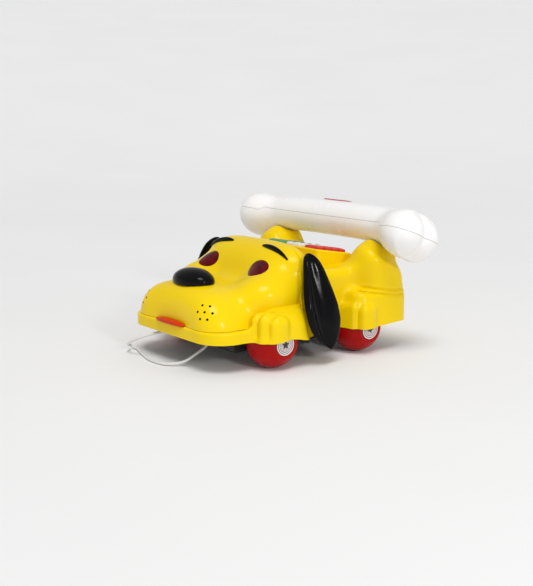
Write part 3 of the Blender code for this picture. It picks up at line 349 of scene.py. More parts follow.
def eye_centre(sx):
    """The eye's middle, on the face surface."""
    p = np.array([EYE])
    for _ in range(5):
        p = p - normals(face_field, p) * face_field(p[:, 0], p[:, 1], p[:, 2])[:, None]
    return Vector((sx * p[0, 0], p[0, 1], p[0, 2]))


def on_face(x, z_guess):
    """Point on the face moulding straight ahead of (x, z)."""
    y = np.array([0.0])
    t = outermost(face_field, np.array([x]), y + 20, np.array([z_guess]), 0 * y, y - 1, 0 * y, 100.0)
    return Vector((x, 20 - float(t[0]), z_guess))


def eye_frame(sx):
    n = eye_normal(sx)
    up = (Vector((0, 0, 1)) - n * n.z).normalized()
    return n, n.cross(up).normalized(), up




BARE_FACE = face_field
PAD_AT, PAD_FRAME = eye_centre(1), eye_frame(1)


def face_field(x, y, z):
    """The face with a gently crowned pad round each eye."""
    ax = np.abs(x)
    q = (ax - PAD_AT.x, y - PAD_AT.y, z - PAD_AT.z)
    w, u, v = [q[0] * e.x + q[1] * e.y + q[2] * e.z for e in PAD_FRAME]
    pad = (np.sqrt((u / 17.0) ** 2 + (v / 14.5) ** 2 + ((w + 8.2) / 9.0) ** 2 + 1e-9) - 1) * 9.0
    return blend_min(BARE_FACE(x, y, z), pad, 5)
WHISKER_RING = 6.2
WHISKER_AT = (40.4, 44.8)


def whisker_holes(sx):
    """Middles and directions of the seven sound holes on one cheek: a ring of six about one."""
    at = on_face(WHISKER_AT[0], WHISKER_AT[1])
    n = Vector(normals(face_field, np.array([at[:]]))[0])
    up = (Vector((0, 0, 1)) - n * n.z).normalized()
    across = n.cross(up)
    out = []
    for k in range(7):
        a = math.radians(60 * k + 30)
        r = WHISKER_RING if k < 6 else 0.0
        p = np.array([(at + across * (r * math.sin(a)) + up * (r * math.cos(a)))[:]])
        for _ in range(5):
            p = p - normals(face_field, p) * face_field(p[:, 0], p[:, 1], p[:, 2])[:, None]
        g = normals(face_field, p)[0]
        out.append((Vector((sx * p[0, 0], p[0, 1], p[0, 2])), Vector((sx * g[0], g[1], g[2]))))
    return out


def nose_field(x, y, z):
    d = ball(x, y, z, NOSE, (20.2, 13.5, 9.6))
    return blend_max(d, 0.3 - face_field(x, y, z), 0.6)


BROW = ((18.8, 22.8, 80.4), (30.7, 21.5, 82.6), (46.6, 23.0, 74.8))


def brow_point(t, sx):
    """Middle line of a brow, riding on the face moulding."""
    a, b, c = [Vector(p) for p in BROW]
    m = b * 2 - (a + c) / 2
    p = a * (1 - t) ** 2 + m * (2 * t * (1 - t)) + c * t ** 2
    p = np.array([p[:]])
    for _ in range(6):
        f = face_field(p[:, 0], p[:, 1], p[:, 2])
        p = p - normals(face_field, p) * f[:, None]
    n = normals(face_field, p)[0]
    return Vector((sx * p[0, 0], p[0, 1], p[0, 2])), Vector((sx * n[0], n[1], n[2]))


EAR_Z = (11.3, 14.5, 20, 26, 33, 44, 55, 70, 77, 82)
EAR_FRONT = (38.6, 31.5, 25.2, 20.6, 17.6, 16.6, 18.3, 22.2, 24.8, 30.0)
EAR_REAR = (40.5, 43.2, 46.7, 48.2, 49.6, 49.4, 47.2, 43.0, 40.4, 35.5)
EAR_X = (77.6, 77.6, 77.4, 77.0, 76.2, 73.2, 69.4, 64.4, 61.4, 58.0)


SEAM_STEP_X = 76.0


def bone_seam(x):
    return 4.0 * float(ease((SEAM_STEP_X - abs(x)) / 6.0))


def to_world(p):
    """From the bone's own frame (x, v across, w up) to the row."""
    x, v, w = p
    c, s = math.cos(BONE_TILT), math.sin(BONE_TILT)
    return Vector((x, BONE_Y + v * c + w * s, BONE_Z - v * s + w * c))


def bone_ring(n_mid, n_end):
    """Stations round the bone: out along one side, round an end, back, and round the other."""
    x_end = 86.0
    mid = np.linspace(-x_end, x_end, n_mid)
    n = len(mid)
    front = (mid, np.zeros(n), np.zeros(n), -np.ones(n))
    right = fan(x_end, 0.0, -90, 90, n_end)
    back = (mid[::-1], np.zeros(n), np.zeros(n), np.ones(n))
    left = fan(-x_end, 0.0, 90, 270, n_end)
    parts = [front, tuple(a[1:] for a in right), tuple(a[1:] for a in back), tuple(a[1:] for a in left)]
    return tuple(np.concatenate([p[k] for p in parts]) for k in range(4))


CORD_ROUTE = ((-12.0, -28.0, 20.6), (-14.5, -34.0, 20.0), (-20.0, -49.0, 19.2), (-30.0, -59.5, 15.0),
              (-44.5, -62.0, 8.0), (-54.8, -54.5, 3.2), (-50.5, -51.5, 1.4), (-36.5, -55.9, 1.2),
              (-13.4, -62.0, 1.2), (4.8, -60.2, 1.3), (14.0, -50.5, 3.0), (18.5, -42.0, 8.5),
              (20.5, -33.0, 14.6), (16.5, -28.5, 18.6), (12.0, -28.0, 20.6))


def smooth_route(points, n):
    """Catmull-Rom curve through the points, evenly spaced."""
    p = [Vector(q) for q in points]
    p = [p[0] * 2 - p[1]] + p + [p[-1] * 2 - p[-2]]
    dense = []
    for a, b, c, d in zip(p, p[1:], p[2:], p[3:]):
        for k in range(20):
            t = k / 20
            dense.append(0.5 * ((b * 2) + (c - a) * t + (a * 2 - b * 5 + c * 4 - d) * t * t
                                + (b * 3 - a - c * 3 + d) * t * t * t))
    dense.append(p[-2])
    return resample(np.array([q[:] for q in dense]), n)


# ---------------------------------------------------------------- materials

def links(mat, *pairs):
    for a, b in pairs:
        mat.node_tree.links.new(a, b)


def ramp(nodes, stops, mode="LINEAR"):
    r = nodes.new("ShaderNodeValToRGB")
    r.color_ramp.interpolation = mode
    while len(r.color_ramp.elements) < len(stops):
        r.color_ramp.elements.new(0.5)
    for e, (at, col) in zip(r.color_ramp.elements, stops):
        e.position = at
        e.color = (*col, 1) if len(col) == 3 else col
    return r


def plastic(name, dark, light, rough, bump=0.03, grain=900.0, patch=14.0, coat=0.0, coat_rough=0.08,
            spec=0.5, scuff=0.0, sss=0.0, metal=0.0):
    """Moulded plastic: slow tint drift, orange-peel bump, uneven gloss and fine scuffs."""
    m = bpy.data.materials.new(name)
    m.use_nodes = True
    nd = m.node_tree.nodes
    b = nd["Principled BSDF"]
    b.inputs["Metallic"].default_value = metal
    b.inputs["Specular IOR Level"].default_value = spec
    b.inputs["Coat Weight"].default_value = coat
    b.inputs["Coat Roughness"].default_value = coat_rough
    if sss:
        b.inputs["Subsurface Weight"].default_value = sss
        b.inputs["Subsurface Radius"].default_value = (0.002, 0.0015, 0.0006)
        b.inputs["Subsurface Scale"].default_value = 1.0
    tc = nd.new("ShaderNodeTexCoord")
    drift = nd.new("ShaderNodeTexNoise")
    drift.inputs["Scale"].default_value = patch
    drift.inputs["Detail"].default_value = 3.0
    tint = ramp(nd, [(0.35, dark), (0.68, light)])
    fine = nd.new("ShaderNodeTexNoise")
    fine.inputs["Scale"].default_value = grain
    fine.inputs["Detail"].default_value = 2.0
    gloss = nd.new("ShaderNodeTexNoise")
    gloss.inputs["Scale"].default_value = 55.0
    gloss.inputs["Detail"].default_value = 6.0
    gr = nd.new("ShaderNodeMapRange")
    gr.inputs["From Min"].default_value = 0.3
    gr.inputs["From Max"].default_value = 0.7
    gr.inputs["To Min"].default_value = max(rough - 0.05, 0.02)
    gr.inputs["To Max"].default_value = rough + 0.06
    bp = nd.new("ShaderNodeBump")
    bp.inputs["Strength"].default_value = bump
    bp.inputs["Distance"].default_value = 0.0004
    links(m, (tc.outputs["Object"], drift.inputs["Vector"]), (tc.outputs["Object"], fine.inputs["Vector"]),
          (tc.outputs["Object"], gloss.inputs["Vector"]), (drift.outputs["Fac"], tint.inputs["Fac"]),
          (gloss.outputs["Fac"], gr.inputs["Value"]), (gr.outputs["Result"], b.inputs["Roughness"]),
          (fine.outputs["Fac"], bp.inputs["Height"]), (bp.outputs["Normal"], b.inputs["Normal"]))
    if scuff:
        wear = nd.new("ShaderNodeTexNoise")
        wear.inputs["Scale"].default_value = 130.0
        wear.inputs["Detail"].default_value = 9.0
        wear.inputs["Distortion"].default_value = 1.5
        wr = ramp(nd, [(0.66, (0, 0, 0)), (0.74, (scuff, scuff, scuff))])
        mix = nd.new("ShaderNodeMix")
        mix.data_type = "RGBA"
        mix.inputs[7].default_value = (*[min(1.0, 0.25 + c) for c in light], 1)
        links(m, (tc.outputs["Object"], wear.inputs["Vector"]), (wear.outputs["Fac"], wr.inputs["Fac"]),
              (wr.outputs["Color"], mix.inputs[0]), (tint.outputs["Color"], mix.inputs[6]),
              (mix.outputs[2], b.inputs["Base Color"]))
    else:
        links(m, (tint.outputs["Color"], b.inputs["Base Color"]))
    return m


def sticker_material():
    """Printed film: white edge, thin black ring, speckled disc; rings run on the disc's own UVs."""
    m = bpy.data.materials.new("sticker_film")
    m.use_nodes = True
    nd = m.node_tree.nodes
    b = nd["Principled BSDF"]
    b.inputs["Roughness"].default_value = 0.35
    b.inputs["Coat Weight"].default_value = 0.3
    uv = nd.new("ShaderNodeUVMap")
    uv.uv_map = "UVMap"
    sub = nd.new("ShaderNodeVectorMath")
    sub.operation = "SUBTRACT"
    sub.inputs[1].default_value = (0.5, 0.5, 0.0)
    length = nd.new("ShaderNodeVectorMath")
    length.operation = "LENGTH"
    white, black = (0.78, 0.76, 0.74), (0.02, 0.02, 0.02)
    rings = ramp(nd, [(0.0, (0.50, 0.40, 0.39)), (0.335, black), (0.352, white), (0.405, black),
                      (0.437, white)], "CONSTANT")
    speck = nd.new("ShaderNodeTexNoise")
    speck.inputs["Scale"].default_value = 26.0
    speck.inputs["Detail"].default_value = 5.0
    sr = ramp(nd, [(0.42, (0.62, 0.50, 0.49)), (0.50, (0.80, 0.74, 0.73)), (0.60, (0.30, 0.22, 0.22))])
    inner = nd.new("ShaderNodeMath")
    inner.operation = "LESS_THAN"
    inner.inputs[1].default_value = 0.335
    mix = nd.new("ShaderNodeMix")
    mix.data_type = "RGBA"
    links(m, (uv.outputs["UV"], sub.inputs[0]), (sub.outputs["Vector"], length.inputs[0]),
          (length.outputs["Value"], rings.inputs["Fac"]), (length.outputs["Value"], inner.inputs[0]),
          (uv.outputs["UV"], speck.inputs["Vector"]), (speck.outputs["Fac"], sr.inputs["Fac"]),
          (inner.outputs["Value"], mix.inputs[0]), (rings.outputs["Color"], mix.inputs[6]),
          (sr.outputs["Color"], mix.inputs[7]), (mix.outputs[2], b.inputs["Base Color"]))
    return m


def braid_material():
    m = bpy.data.materials.new("braided_cord")
    m.use_nodes = True
    nd = m.node_tree.nodes
    b = nd["Principled BSDF"]
    b.inputs["Roughness"].default_value = 0.75
    b.inputs["Sheen Weight"].default_value = 0.3
    tc = nd.new("ShaderNodeTexCoord")
    wave = nd.new("ShaderNodeTexWave")
    wave.bands_direction = "DIAGONAL"
    wave.inputs["Scale"].default_value = 420.0
    wave.inputs["Distortion"].default_value = 1.0
    tint = ramp(nd, [(0.2, (0.62, 0.60, 0.57)), (0.8, (0.86, 0.85, 0.82))])
    bp = nd.new("ShaderNodeBump")
    bp.inputs["Strength"].default_value = 0.4
    bp.inputs["Distance"].default_value = 0.0003
    links(m, (tc.outputs["Object"], wave.inputs["Vector"]), (wave.outputs["Fac"], tint.inputs["Fac"]),
          (tint.outputs["Color"], b.inputs["Base Color"]), (wave.outputs["Fac"], bp.inputs["Height"]),
          (bp.outputs["Normal"], b.inputs["Normal"]))
    return m


YELLOW = plastic("yellow_moulding", (0.85, 0.59, 0.002), (0.91, 0.65, 0.004), 0.2, bump=0.05, grain=700,
                 patch=9, spec=0.14, sss=0.04)
BLACK = plastic("black_moulding", (0.002, 0.002, 0.0025), (0.005, 0.005, 0.006), 0.11, bump=0.04, grain=500,
                spec=0.1)
MATT = plastic("black_underside", (0.012, 0.012, 0.013), (0.028, 0.028, 0.030), 0.5, bump=0.35, grain=1600)
RED = plastic("red_wheel_moulding", (0.33, 0.002, 0.002), (0.42, 0.004, 0.003), 0.18, bump=0.08, grain=500,
              spec=0.13, sss=0.03)
LENS = plastic("red_lens_plastic", (0.05, 0.0, 0.002), (0.14, 0.001, 0.003), 0.06, bump=0.02, grain=260,
               patch=160, spec=0.16)
BADGE = plastic("badge_red", (0.55, 0.02, 0.03), (0.66, 0.04, 0.05), 0.35, bump=0.08)
WHITE = plastic("white_moulding", (0.90, 0.885, 0.88), (0.94, 0.93, 0.925), 0.24, bump=0.05, grain=650,
                patch=8, spec=0.35, sss=0.08)
TONGUE = plastic("tongue_moulding", (0.55, 0.022, 0.001), (0.66, 0.035, 0.002), 0.3, bump=0.08, spec=0.15)
KEY_MATS = [plastic("key_red_moulding", (0.60, 0.02, 0.025), (0.70, 0.04, 0.04), 0.3, bump=0.08),
            plastic("key_white_moulding", (0.78, 0.77, 0.74), (0.86, 0.85, 0.82), 0.3, bump=0.08),
            plastic("key_green_moulding", (0.05, 0.28, 0.10), (0.09, 0.38, 0.16), 0.3, bump=0.08)]
PRINT_DARK = plastic("print_dark", (0.02, 0.02, 0.025), (0.04, 0.04, 0.045), 0.5)
PRINT_LIGHT = plastic("print_light", (0.80, 0.80, 0.78), (0.88, 0.88, 0.86), 0.5)
STEEL = plastic("zinc_plate", (0.50, 0.50, 0.50), (0.66, 0.66, 0.64), 0.32, bump=0.12, metal=1.0)
CONTACT = plastic("nickel_plate", (0.52, 0.48, 0.38), (0.66, 0.60, 0.48), 0.28, bump=0.1, metal=1.0)
GREY = plastic("grey_rubber", (0.22, 0.22, 0.22), (0.32, 0.32, 0.32), 0.75, bump=0.3)
BOARD = plastic("board_mask", (0.015, 0.13, 0.05), (0.03, 0.2, 0.08), 0.4, bump=0.2)
CELL = plastic("cell_wrap", (0.03, 0.06, 0.15), (0.06, 0.10, 0.22), 0.3)
FILM = sticker_material()
CORD = braid_material()
KEPT = {"base_plate": MATT, "battery_door": MATT, "cord_anchor": MATT, "speaker_cone": MATT,
        "sound_chip": MATT, "main_pcb": BOARD, "key_membrane": GREY, "power_switch": BADGE,
        "battery_1": CELL, "battery_2": CELL, "speaker_magnet": STEEL, "door_screw": STEEL,
        "axle_front": STEEL, "axle_rear": STEEL, "ear_pin_l": BLACK, "ear_pin_r": BLACK,
        "battery_contact_l": CONTACT, "battery_contact_r": CONTACT, "eye_led_l": LENS, "eye_led_r": LENS}


def finish_kept():
    for o in list(bpy.data.objects):
        key = o.name
        mat = KEPT.get(key, STEEL if key.startswith("case_screw") else None)
        if mat is not None and o.type == "MESH":
            o.data.materials.clear()
            o.data.materials.append(mat)


# ---------------------------------------------------------------- meshes

def place(p):
    return Vector((p[0] * MM, (p[1] - AXLE_TO_ORIGIN) * MM, p[2] * MM))


def piece(name, bm, mat, nodes, sharp=40.0, flat=False):
    """Store a bmesh of millimetre points as a piece standing for CAD nodes."""
    bmesh.ops.recalc_face_normals(bm, faces=bm.faces)
    for v in bm.verts:
        v.co = place(v.co)
    me = bpy.data.meshes.new(name)
    bm.to_mesh(me)
    bm.free()
    ob = bpy.data.objects.new(name, me)
    bpy.context.scene.collection.objects.link(ob)
    me.materials.append(mat)
    if not flat:
        me.shade_smooth()
        me.set_sharp_from_angle(angle=math.radians(sharp))
    nodes = [nodes] if isinstance(nodes, str) else nodes
    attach(ob, BODY_OF[nodes[0]])
    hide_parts(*nodes)
    return ob


def extra(name, bm, mat, node, sharp=40.0):
    """A detail that rides with a node's body without replacing it."""
    bmesh.ops.recalc_face_normals(bm, faces=bm.faces)
    for v in bm.verts:
        v.co = place(v.co)
    me = bpy.data.meshes.new(name)
    bm.to_mesh(me)
    bm.free()
    ob = bpy.data.objects.new(name, me)
    bpy.context.scene.collection.objects.link(ob)
    me.materials.append(mat)
    me.shade_smooth()
    me.set_sharp_from_angle(angle=math.radians(sharp))
    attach(ob, BODY_OF[node])
    return ob


def boolean(ob, cutters, mode="DIFFERENCE", inside=None):
    for c in cutters:
        for v in c.verts:
            v.co = place(v.co)
        bmesh.ops.recalc_face_normals(c, faces=c.faces)
        me = bpy.data.meshes.new("cutter")
        c.to_mesh(me)
        c.free()
        co = bpy.data.objects.new("cutter", me)
        bpy.context.scene.collection.objects.link(co)
        mod = ob.modifiers.new("cut", "BOOLEAN")
        mod.operation = mode
        mod.solver = "EXACT"
        mod.object = co
        if inside is not None:
            me.materials.append(inside)
            mod.material_mode = "TRANSFER"
        dg = bpy.context.evaluated_depsgraph_get()
        new = bpy.data.meshes.new_from_object(ob.evaluated_get(dg))
        ob.modifiers.clear()
        old = ob.data
        ob.data = new
        bpy.data.meshes.remove(old)
        bpy.data.objects.remove(co)
        bpy.data.meshes.remove(me)


def sheet_shell(patches, field, wall, skip=None, level=None, wall_at=None):
    sheet = bmesh.new()
    for g in patches:
        vs = [[sheet.verts.new(p) for p in row] for row in np.asarray(g)]
        for i in range(len(vs) - 1):
            for j in range(len(vs[0]) - 1):
                quad = (vs[i][j], vs[i + 1][j], vs[i + 1][j + 1], vs[i][j + 1])
                if skip is not None and skip((quad[0].co + quad[2].co) / 2):
                    continue
                sheet.faces.new(quad)
    bmesh.ops.remove_doubles(sheet, verts=sheet.verts, dist=0.012)
    bmesh.ops.dissolve_degenerate(sheet, dist=0.01, edges=sheet.edges)
    bmesh.ops.delete(sheet, geom=[v for v in sheet.verts if not v.link_faces], context="VERTS")
    bmesh.ops.recalc_face_normals(sheet, faces=sheet.faces)
    sheet.verts.ensure_lookup_table()
    pts = np.array([v.co[:] for v in sheet.verts])
    nrm = normals(field, pts)
    for e in sheet.edges:
        if len(e.link_faces) == 1 and level is not None:
            for v in e.verts:
                k = level(v.co)
                if k is not None:
                    nrm[v.index, k] = 0.0
    depth = np.full(len(pts), float(wall)) if wall_at is None else wall_at(pts)
    bm = bmesh.new()
    vo = [bm.verts.new(p) for p in pts]
    vi = [bm.verts.new(p) for p in pts - nrm * depth[:, None]]
    for f in sheet.faces:
        ids = [v.index for v in f.verts]
        bm.faces.new([vo[i] for i in ids])
        bm.faces.new([vi[i] for i in ids[::-1]])
    for e in sheet.edges:
        if len(e.link_faces) == 1:
            a, b = e.verts[0].index, e.verts[1].index
            bm.faces.new((vo[a], vo[b], vi[b], vi[a]))
    sheet.free()
    return bm


def turned(points, axis_at, axis, seg):
    bm = bmesh.new()
    axis = Vector(axis).normalized()
    side = Vector((0, 0, 1)) if abs(axis.z) < 1e-6 else axis.orthogonal().normalized()
    other = axis.cross(side)
    rings = []
    for along, r in points:
        c = Vector(axis_at) + axis * along
        if r < 1e-6:
            rings.append([bm.verts.new(c)] * seg)
            continue
        rings.append([bm.verts.new(c + side * (r * math.cos(2 * math.pi * k / seg))
                                   + other * (r * math.sin(2 * math.pi * k / seg))) for k in range(seg)])
    for a, b in zip(rings, rings[1:]):
        for k in range(seg):
            quad = [a[k], a[(k + 1) % seg], b[(k + 1) % seg], b[k]]
            uniq = [v for i, v in enumerate(quad) if v not in quad[:i]]
            if len(uniq) > 2:
                bm.faces.new(uniq)
    return bm


def merged(*parts):
    out = bmesh.new()
    for p in parts:
        me = bpy.data.meshes.new("piece")
        p.to_mesh(me)
        p.free()
        out.from_mesh(me)
        bpy.data.meshes.remove(me)
    return out


def grid_solid(rows, closed_rows=False):
    """Closed skin through rings of points (each ring closed), capped at both ends."""
    bm = bmesh.new()
    vs = [[bm.verts.new(p) for p in row] for row in rows]
    n = len(vs[0])
    for a, b in zip(vs, vs[1:]):
        for k in range(n):
            bm.faces.new((a[k], a[(k + 1) % n], b[(k + 1) % n], b[k]))
    if not closed_rows:
        bm.faces.new(vs[0][::-1])
        bm.faces.new(vs[-1])
    return bm


# ---------------------------------------------------------------- body and face

def clip_low(line, low):
    over = line[:, 2] - low(line[:, 1])
    k = int(np.argmax(over > 0))
    if k == 0:
        return line
    t = over[k] / (over[k] - over[k - 1])
    return np.concatenate([[line[k] + (line[k - 1] - line[k]) * t], line[k:]])


def front_wall_line(line):
    fine = resample(clip_low(line, lower_edge), 2400)
    x, y, z = fine.T
    if y[0] < -29.5:
        stop = np.hypot(x - x[0], y - y[0]) > LEDGE
    elif y[0] < 27:
        stop = (face_field(x, y, z) < -TUCK) | ((z > seam_height(y) + TUCK) & (y > 27))
    else:
        stop = z > seam_height(y) + 0.05
    k = int(np.argmax(stop)) if stop.any() else len(fine) - 1
    return fine[:max(k, 2)]


def arch_lines(st, ys, n_wall, n_top):
    out = reach_out(body_field, st, 40.0)
    rc = np.where(ys <= SEAM_Y, out - 11, np.maximum(out - 20, 2.0))
    lines = profiles(body_field, st, 17.0, rc, 45.0, reach=60.0, counts=(90, 60, 200))
    rows = []
    for k, q in enumerate(lines):
        q = clip_low(q, lower_edge)
        over = np.maximum.accumulate(q[:, 2])
        split = 56.0 - 6.0 * float(ease((ys[k] - 33) / 20))
        j = max(2, int(np.argmax(over > split)))
        t = np.clip((split - q[j - 1, 2]) / max(q[j, 2] - q[j - 1, 2], 1e-6), 0, 1)
        a = np.concatenate([q[:j], [q[j - 1] + (q[j] - q[j - 1]) * t]])
        b = np.concatenate([a[-1:], q[j:]])
        rows.append(np.concatenate([resample(a, n_wall), resample(b, n_top)[1:]]))
    return np.array(rows)


def body_patches(n_fan, n_wall, n_side, n_rear, n_top):
    st = fan(0.0, SEAM_Y, 0.0, -180.0, n_fan)
    out = reach_out(body_field, st, 27.0)
    fore = ease((st[1] + out * st[3] + 30) / 8)
    lines = profiles(body_field, st, 17.0, out - 9 - 2 * fore, 27 + 7 * fore, reach=40.0,
                     counts=(90, 60, 60))
    wall = np.array([resample(front_wall_line(q), n_wall) for q in lines])
    grids = [wall]
    ys = np.linspace(SEAM_Y, 100.0, n_side)
    for sx in (1.0, -1.0):
        st = (np.zeros(n_side), ys, np.full(n_side, sx), np.zeros(n_side))
        grids.append(arch_lines(st, ys, n_wall, n_top))
        wall[0 if sx > 0 else -1] = grids[-1][0][:n_wall]
    st = fan(0.0, 100.0, 0.0, 180.0, n_rear)
    grids.append(arch_lines(st, np.full(n_rear, 100.0), n_wall, n_top))
    return grids


def face_patches(n_fan, n_up):
    st = fan(0.0, SEAM_Y - SEAM_GAP, 0.0, -180.0, n_fan)
    out = reach_out(face_field, st, 34.0)
    lines = profiles(face_field, st, 26.0, out - 20, 42.0, reach=70.0, counts=(90, 70, 240))
    rows = []
    for q in lines:
        fine = resample(q, 2400)
        x, y, z = fine.T
        ax = np.abs(x)
        lip = blend_max(rounded_plan(x, y, LIP_HALF, LIP_FRONT, 40, 22), np.abs(z - 20.0) - 11.0, 2)
        under = np.minimum(lip, foreleg(ax, y, z))
        hidden = (under < -TUCK) | ((z < seam_height(y) - 0.05) & (y > 28)) | (z < LIP_TOP + SEAM_GAP)
        low = np.where(hidden & (z < 62) & (np.arange(2400) < 1440))[0]
        k = int(low[-1]) + 1 if len(low) else 0
        rows.append(resample(fine[k:], n_up))
    return [np.array(rows)]


def body_rim(c):
    if c.z < 40 and abs(c.z - lower_edge(c.y)) < 0.6:
        return 2
    return 1 if abs(c.y - SEAM_Y) < 0.05 and c.z > 54 else None


def body_wall(p):
    ax, y, z = np.abs(p[:, 0]), p[:, 1], p[:, 2]
    lip = (y < -24) & (z < 34)
    saddle = (y > 92) & (ax < 50) & (z > 56)
    return np.where(lip, 1.2, np.where(saddle, 0.9, WALL))


def deck_opening(c):
    return abs(c.x) < 30.0 and 65.0 < c.y < 95.0 and 60.0 < c.z < 70.0


def build_body():
    bm = sheet_shell(body_patches(221, 40, 84, 111, 90), body_field, WALL, skip=deck_opening,
                     level=body_rim, wall_at=body_wall)
    return piece("body_moulding", bm, YELLOW, "body_shell", sharp=38)


def oval_rings(c, n, a, b, levels, seg):
    rows = []
    for h, ka, kb in levels:
        rows.append([c + n * h + a * (ka * math.cos(2 * math.pi * i / seg))
                     + b * (kb * math.sin(2 * math.pi * i / seg)) for i in range(seg)])
    return grid_solid(rows)


def build_face():
    bm = sheet_shell(face_patches(221, 110), face_field, WALL,
                     level=lambda c: 1 if abs(c.y - SEAM_Y + SEAM_GAP) < 0.05 else None)
    ob = piece("face_moulding", bm, YELLOW, "face_shell", sharp=38)
    cutters, dots = [], []
    for sx in (1, -1):
        n, a, b = eye_frame(sx)
        c = eye_centre(sx)
        levels = ((-7, EYE_HALF_X, EYE_HALF_S), (7, EYE_HALF_X, EYE_HALF_S))
        cutters.append(oval_rings(c, n, a, b, levels, 64))
        for p, g in whisker_holes(sx):
            dots.append(turned(((-5, 0), (-5, 0.95), (4, 0.95), (4, 0)), p, g, 16))
    boolean(ob, [merged(*cutters)])
    # The walls of the whisker sound holes take the matt black material: painted shade inside the holes, where
    # the cut yellow moulding would show.
    boolean(ob, [merged(*dots)], inside=MATT)
    ob.data.set_sharp_from_angle(angle=math.radians(38))
    return ob


def build_eyes():
    """Lenses that follow the curve of the face, slightly crowned."""
    for side, sx in (("l", 1), ("r", -1)):
        n, a, b = eye_frame(sx)
        c = eye_centre(sx)
        rows, seg = [], 64
        for depth, k in [(-3.0, 0.985), (-1.0, 0.985)] + [(None, 0.985 * math.cos(0.5 * math.pi * i / 14.5))
                                                         for i in range(15)]:
            ring = []
            for j in range(seg):
                t = 2 * math.pi * j / seg
                p = c + a * (EYE_HALF_X * k * math.cos(t)) + b * (EYE_HALF_S * k * math.sin(t))
                ring.append(p)
            q = np.array([p[:] for p in ring])
            e = np.array([n[:]] * seg)
            start = q - e * 10.0
            h = outermost(face_field, start[:, 0], start[:, 1], start[:, 2], e[:, 0], e[:, 1], e[:, 2], 22.0,
                          0.5) - 10.0
            lift = -0.35 + 1.5 * math.sqrt(max(0.0, 1 - (k / 0.985) ** 2)) if depth is None else depth
            rows.append([p + n * float(u + lift) for p, u in zip(ring, h)])
        piece("eye_dome_" + side, grid_solid(rows), LENS, "eye_lens_" + side, sharp=50)


def build_nose():
    n_seg, n_lat = 96, 56
    centre = np.array((NOSE[0], NOSE[1] - 1.0, NOSE[2] + 3.0))
    lat = np.linspace(math.pi / 2 - 0.02, -math.pi / 2 + 0.02, n_lat)[:, None]
    lon = np.linspace(0, 2 * math.pi, n_seg, endpoint=False)[None]
    d = np.stack([np.cos(lat) * np.cos(lon) * 1.4, np.cos(lat) * np.sin(lon),
                  np.sin(lat) * 0.7 + 0 * lon], -1)
    d /= np.linalg.norm(d, axis=-1, keepdims=True)
    one = np.ones(d.shape[:2])
    t = outermost(nose_field, one * centre[0], one * centre[1], one * centre[2],
                  d[..., 0], d[..., 1], d[..., 2], 30.0, 0.25)
    pts = centre + d * t[..., None]
    return piece("nose_moulding", grid_solid(pts), BLACK, "nose", sharp=50)


def build_brows():
    for side, sx in (("l", 1), ("r", -1)):
        rows, n_len, m = [], 49, 16
        for i in range(n_len):
            t = i / (n_len - 1)
            p, n = brow_point(t, sx)
            q, _ = brow_point(min(t + 0.02, 1.0), sx)
            r, _ = brow_point(max(t - 0.02, 0.0), sx)
            side_v = (q - r).normalized().cross(n).normalized()
            k = max(0.12, math.sin(math.pi * (0.04 + 0.92 * t)) ** 0.6)
            ring = [p + side_v * (2.05 * k * math.cos(2 * math.pi * j / m))
                    + n * (0.5 + 2.0 * k * math.sin(2 * math.pi * j / m)) for j in range(m)]
            rows.append(ring)
        piece("brow_moulding_" + side, grid_solid(rows), BLACK, "brow_" + side, sharp=60)


def build_tongue():
    rows, n = [], 61
    for i in range(n):
        u = -1 + 2 * i / (n - 1)
        k = math.sqrt(max(1 - u * u, 0.0)) * 0.98 + 0.02
        y0, y1 = -52.1, -53.3 - 4.5 * k
        z0, z1 = LIP_TOP + 0.35, LIP_TOP + 0.9 + 2.3 * k
        outline = ((y0, z0), (y1 + 0.3, z0), (y1, z0 + 0.4), (y1, z0 + 0.9 + 0.4 * k),
                   (y1 + 0.9, z0 + 1.3 + 0.9 * k), (y0 - 2.2, z1 - 0.2), (y0, z1))
        rows.append([Vector((2.0 + 18.2 * u, y, z)) for y, z in outline])
    return piece("tongue_moulding", grid_solid(rows), TONGUE, "tongue", sharp=42)


# ---------------------------------------------------------------- ears

def smooth_table(xs, vs, at):
    """Softened reading of a table of widths."""
    g = np.linspace(-1, 1, 17)
    k = np.exp(-(g * 1.6) ** 2)
    k /= k.sum()
    span = 4.0
    pts = np.clip(np.asarray(at)[..., None] + g * span, xs[0] - 20, xs[-1] + 20)
    v = np.interp(pts, xs, vs)
    lo, hi = pts < xs[0], pts > xs[-1]
    v = np.where(lo, vs[0] + (pts - xs[0]) * 0.0, v)
    v = np.where(hi, vs[-1], v)
    return (v * k).sum(axis=-1)


def ear_surface(z, u, outer, sx):
    y0 = smooth_table(EAR_Z, EAR_FRONT, z)
    y1 = smooth_table(EAR_Z, EAR_REAR, z)
    x = smooth_table(EAR_Z, EAR_X, z)
    tip = np.clip((z - EAR_Z[0]) / 5.5, 0, 1)
    top = np.clip((EAR_Z[-1] - z) / 2.8, 0, 1)
    pinch = np.sqrt(np.clip(1 - (1 - tip) ** 2, 0, 1)) * np.sqrt(np.clip(1 - (1 - top) ** 2, 0, 1))
    mid = (y0 + y1) / 2
    y0, y1 = mid + (y0 - mid) * pinch, mid + (y1 - mid) * pinch
    size = np.minimum(1.0, (y1 - y0) / 22.0)
    roll = 3.3 * np.exp(-((u - 0.11) / 0.11) ** 2)
    fold = -2.6 * np.exp(-((u - 0.42) / 0.2) ** 2) + 0.8 * np.exp(-((u - 0.8) / 0.2) ** 2)
    thick = 1.1 + 0.9 * np.exp(-(u / 0.25) ** 2)
    edge = np.sqrt(np.clip(1 - np.abs(2 * u - 1) ** 8, 0, 1))
    off = thick * (0.06 + 0.94 * edge) * (0.25 + 0.75 * pinch)
    x = x + size * (roll + fold) + (off if outer else -off)
    return np.stack([sx * x, y0 + (y1 - y0) * u, z + 0 * u], axis=-1)


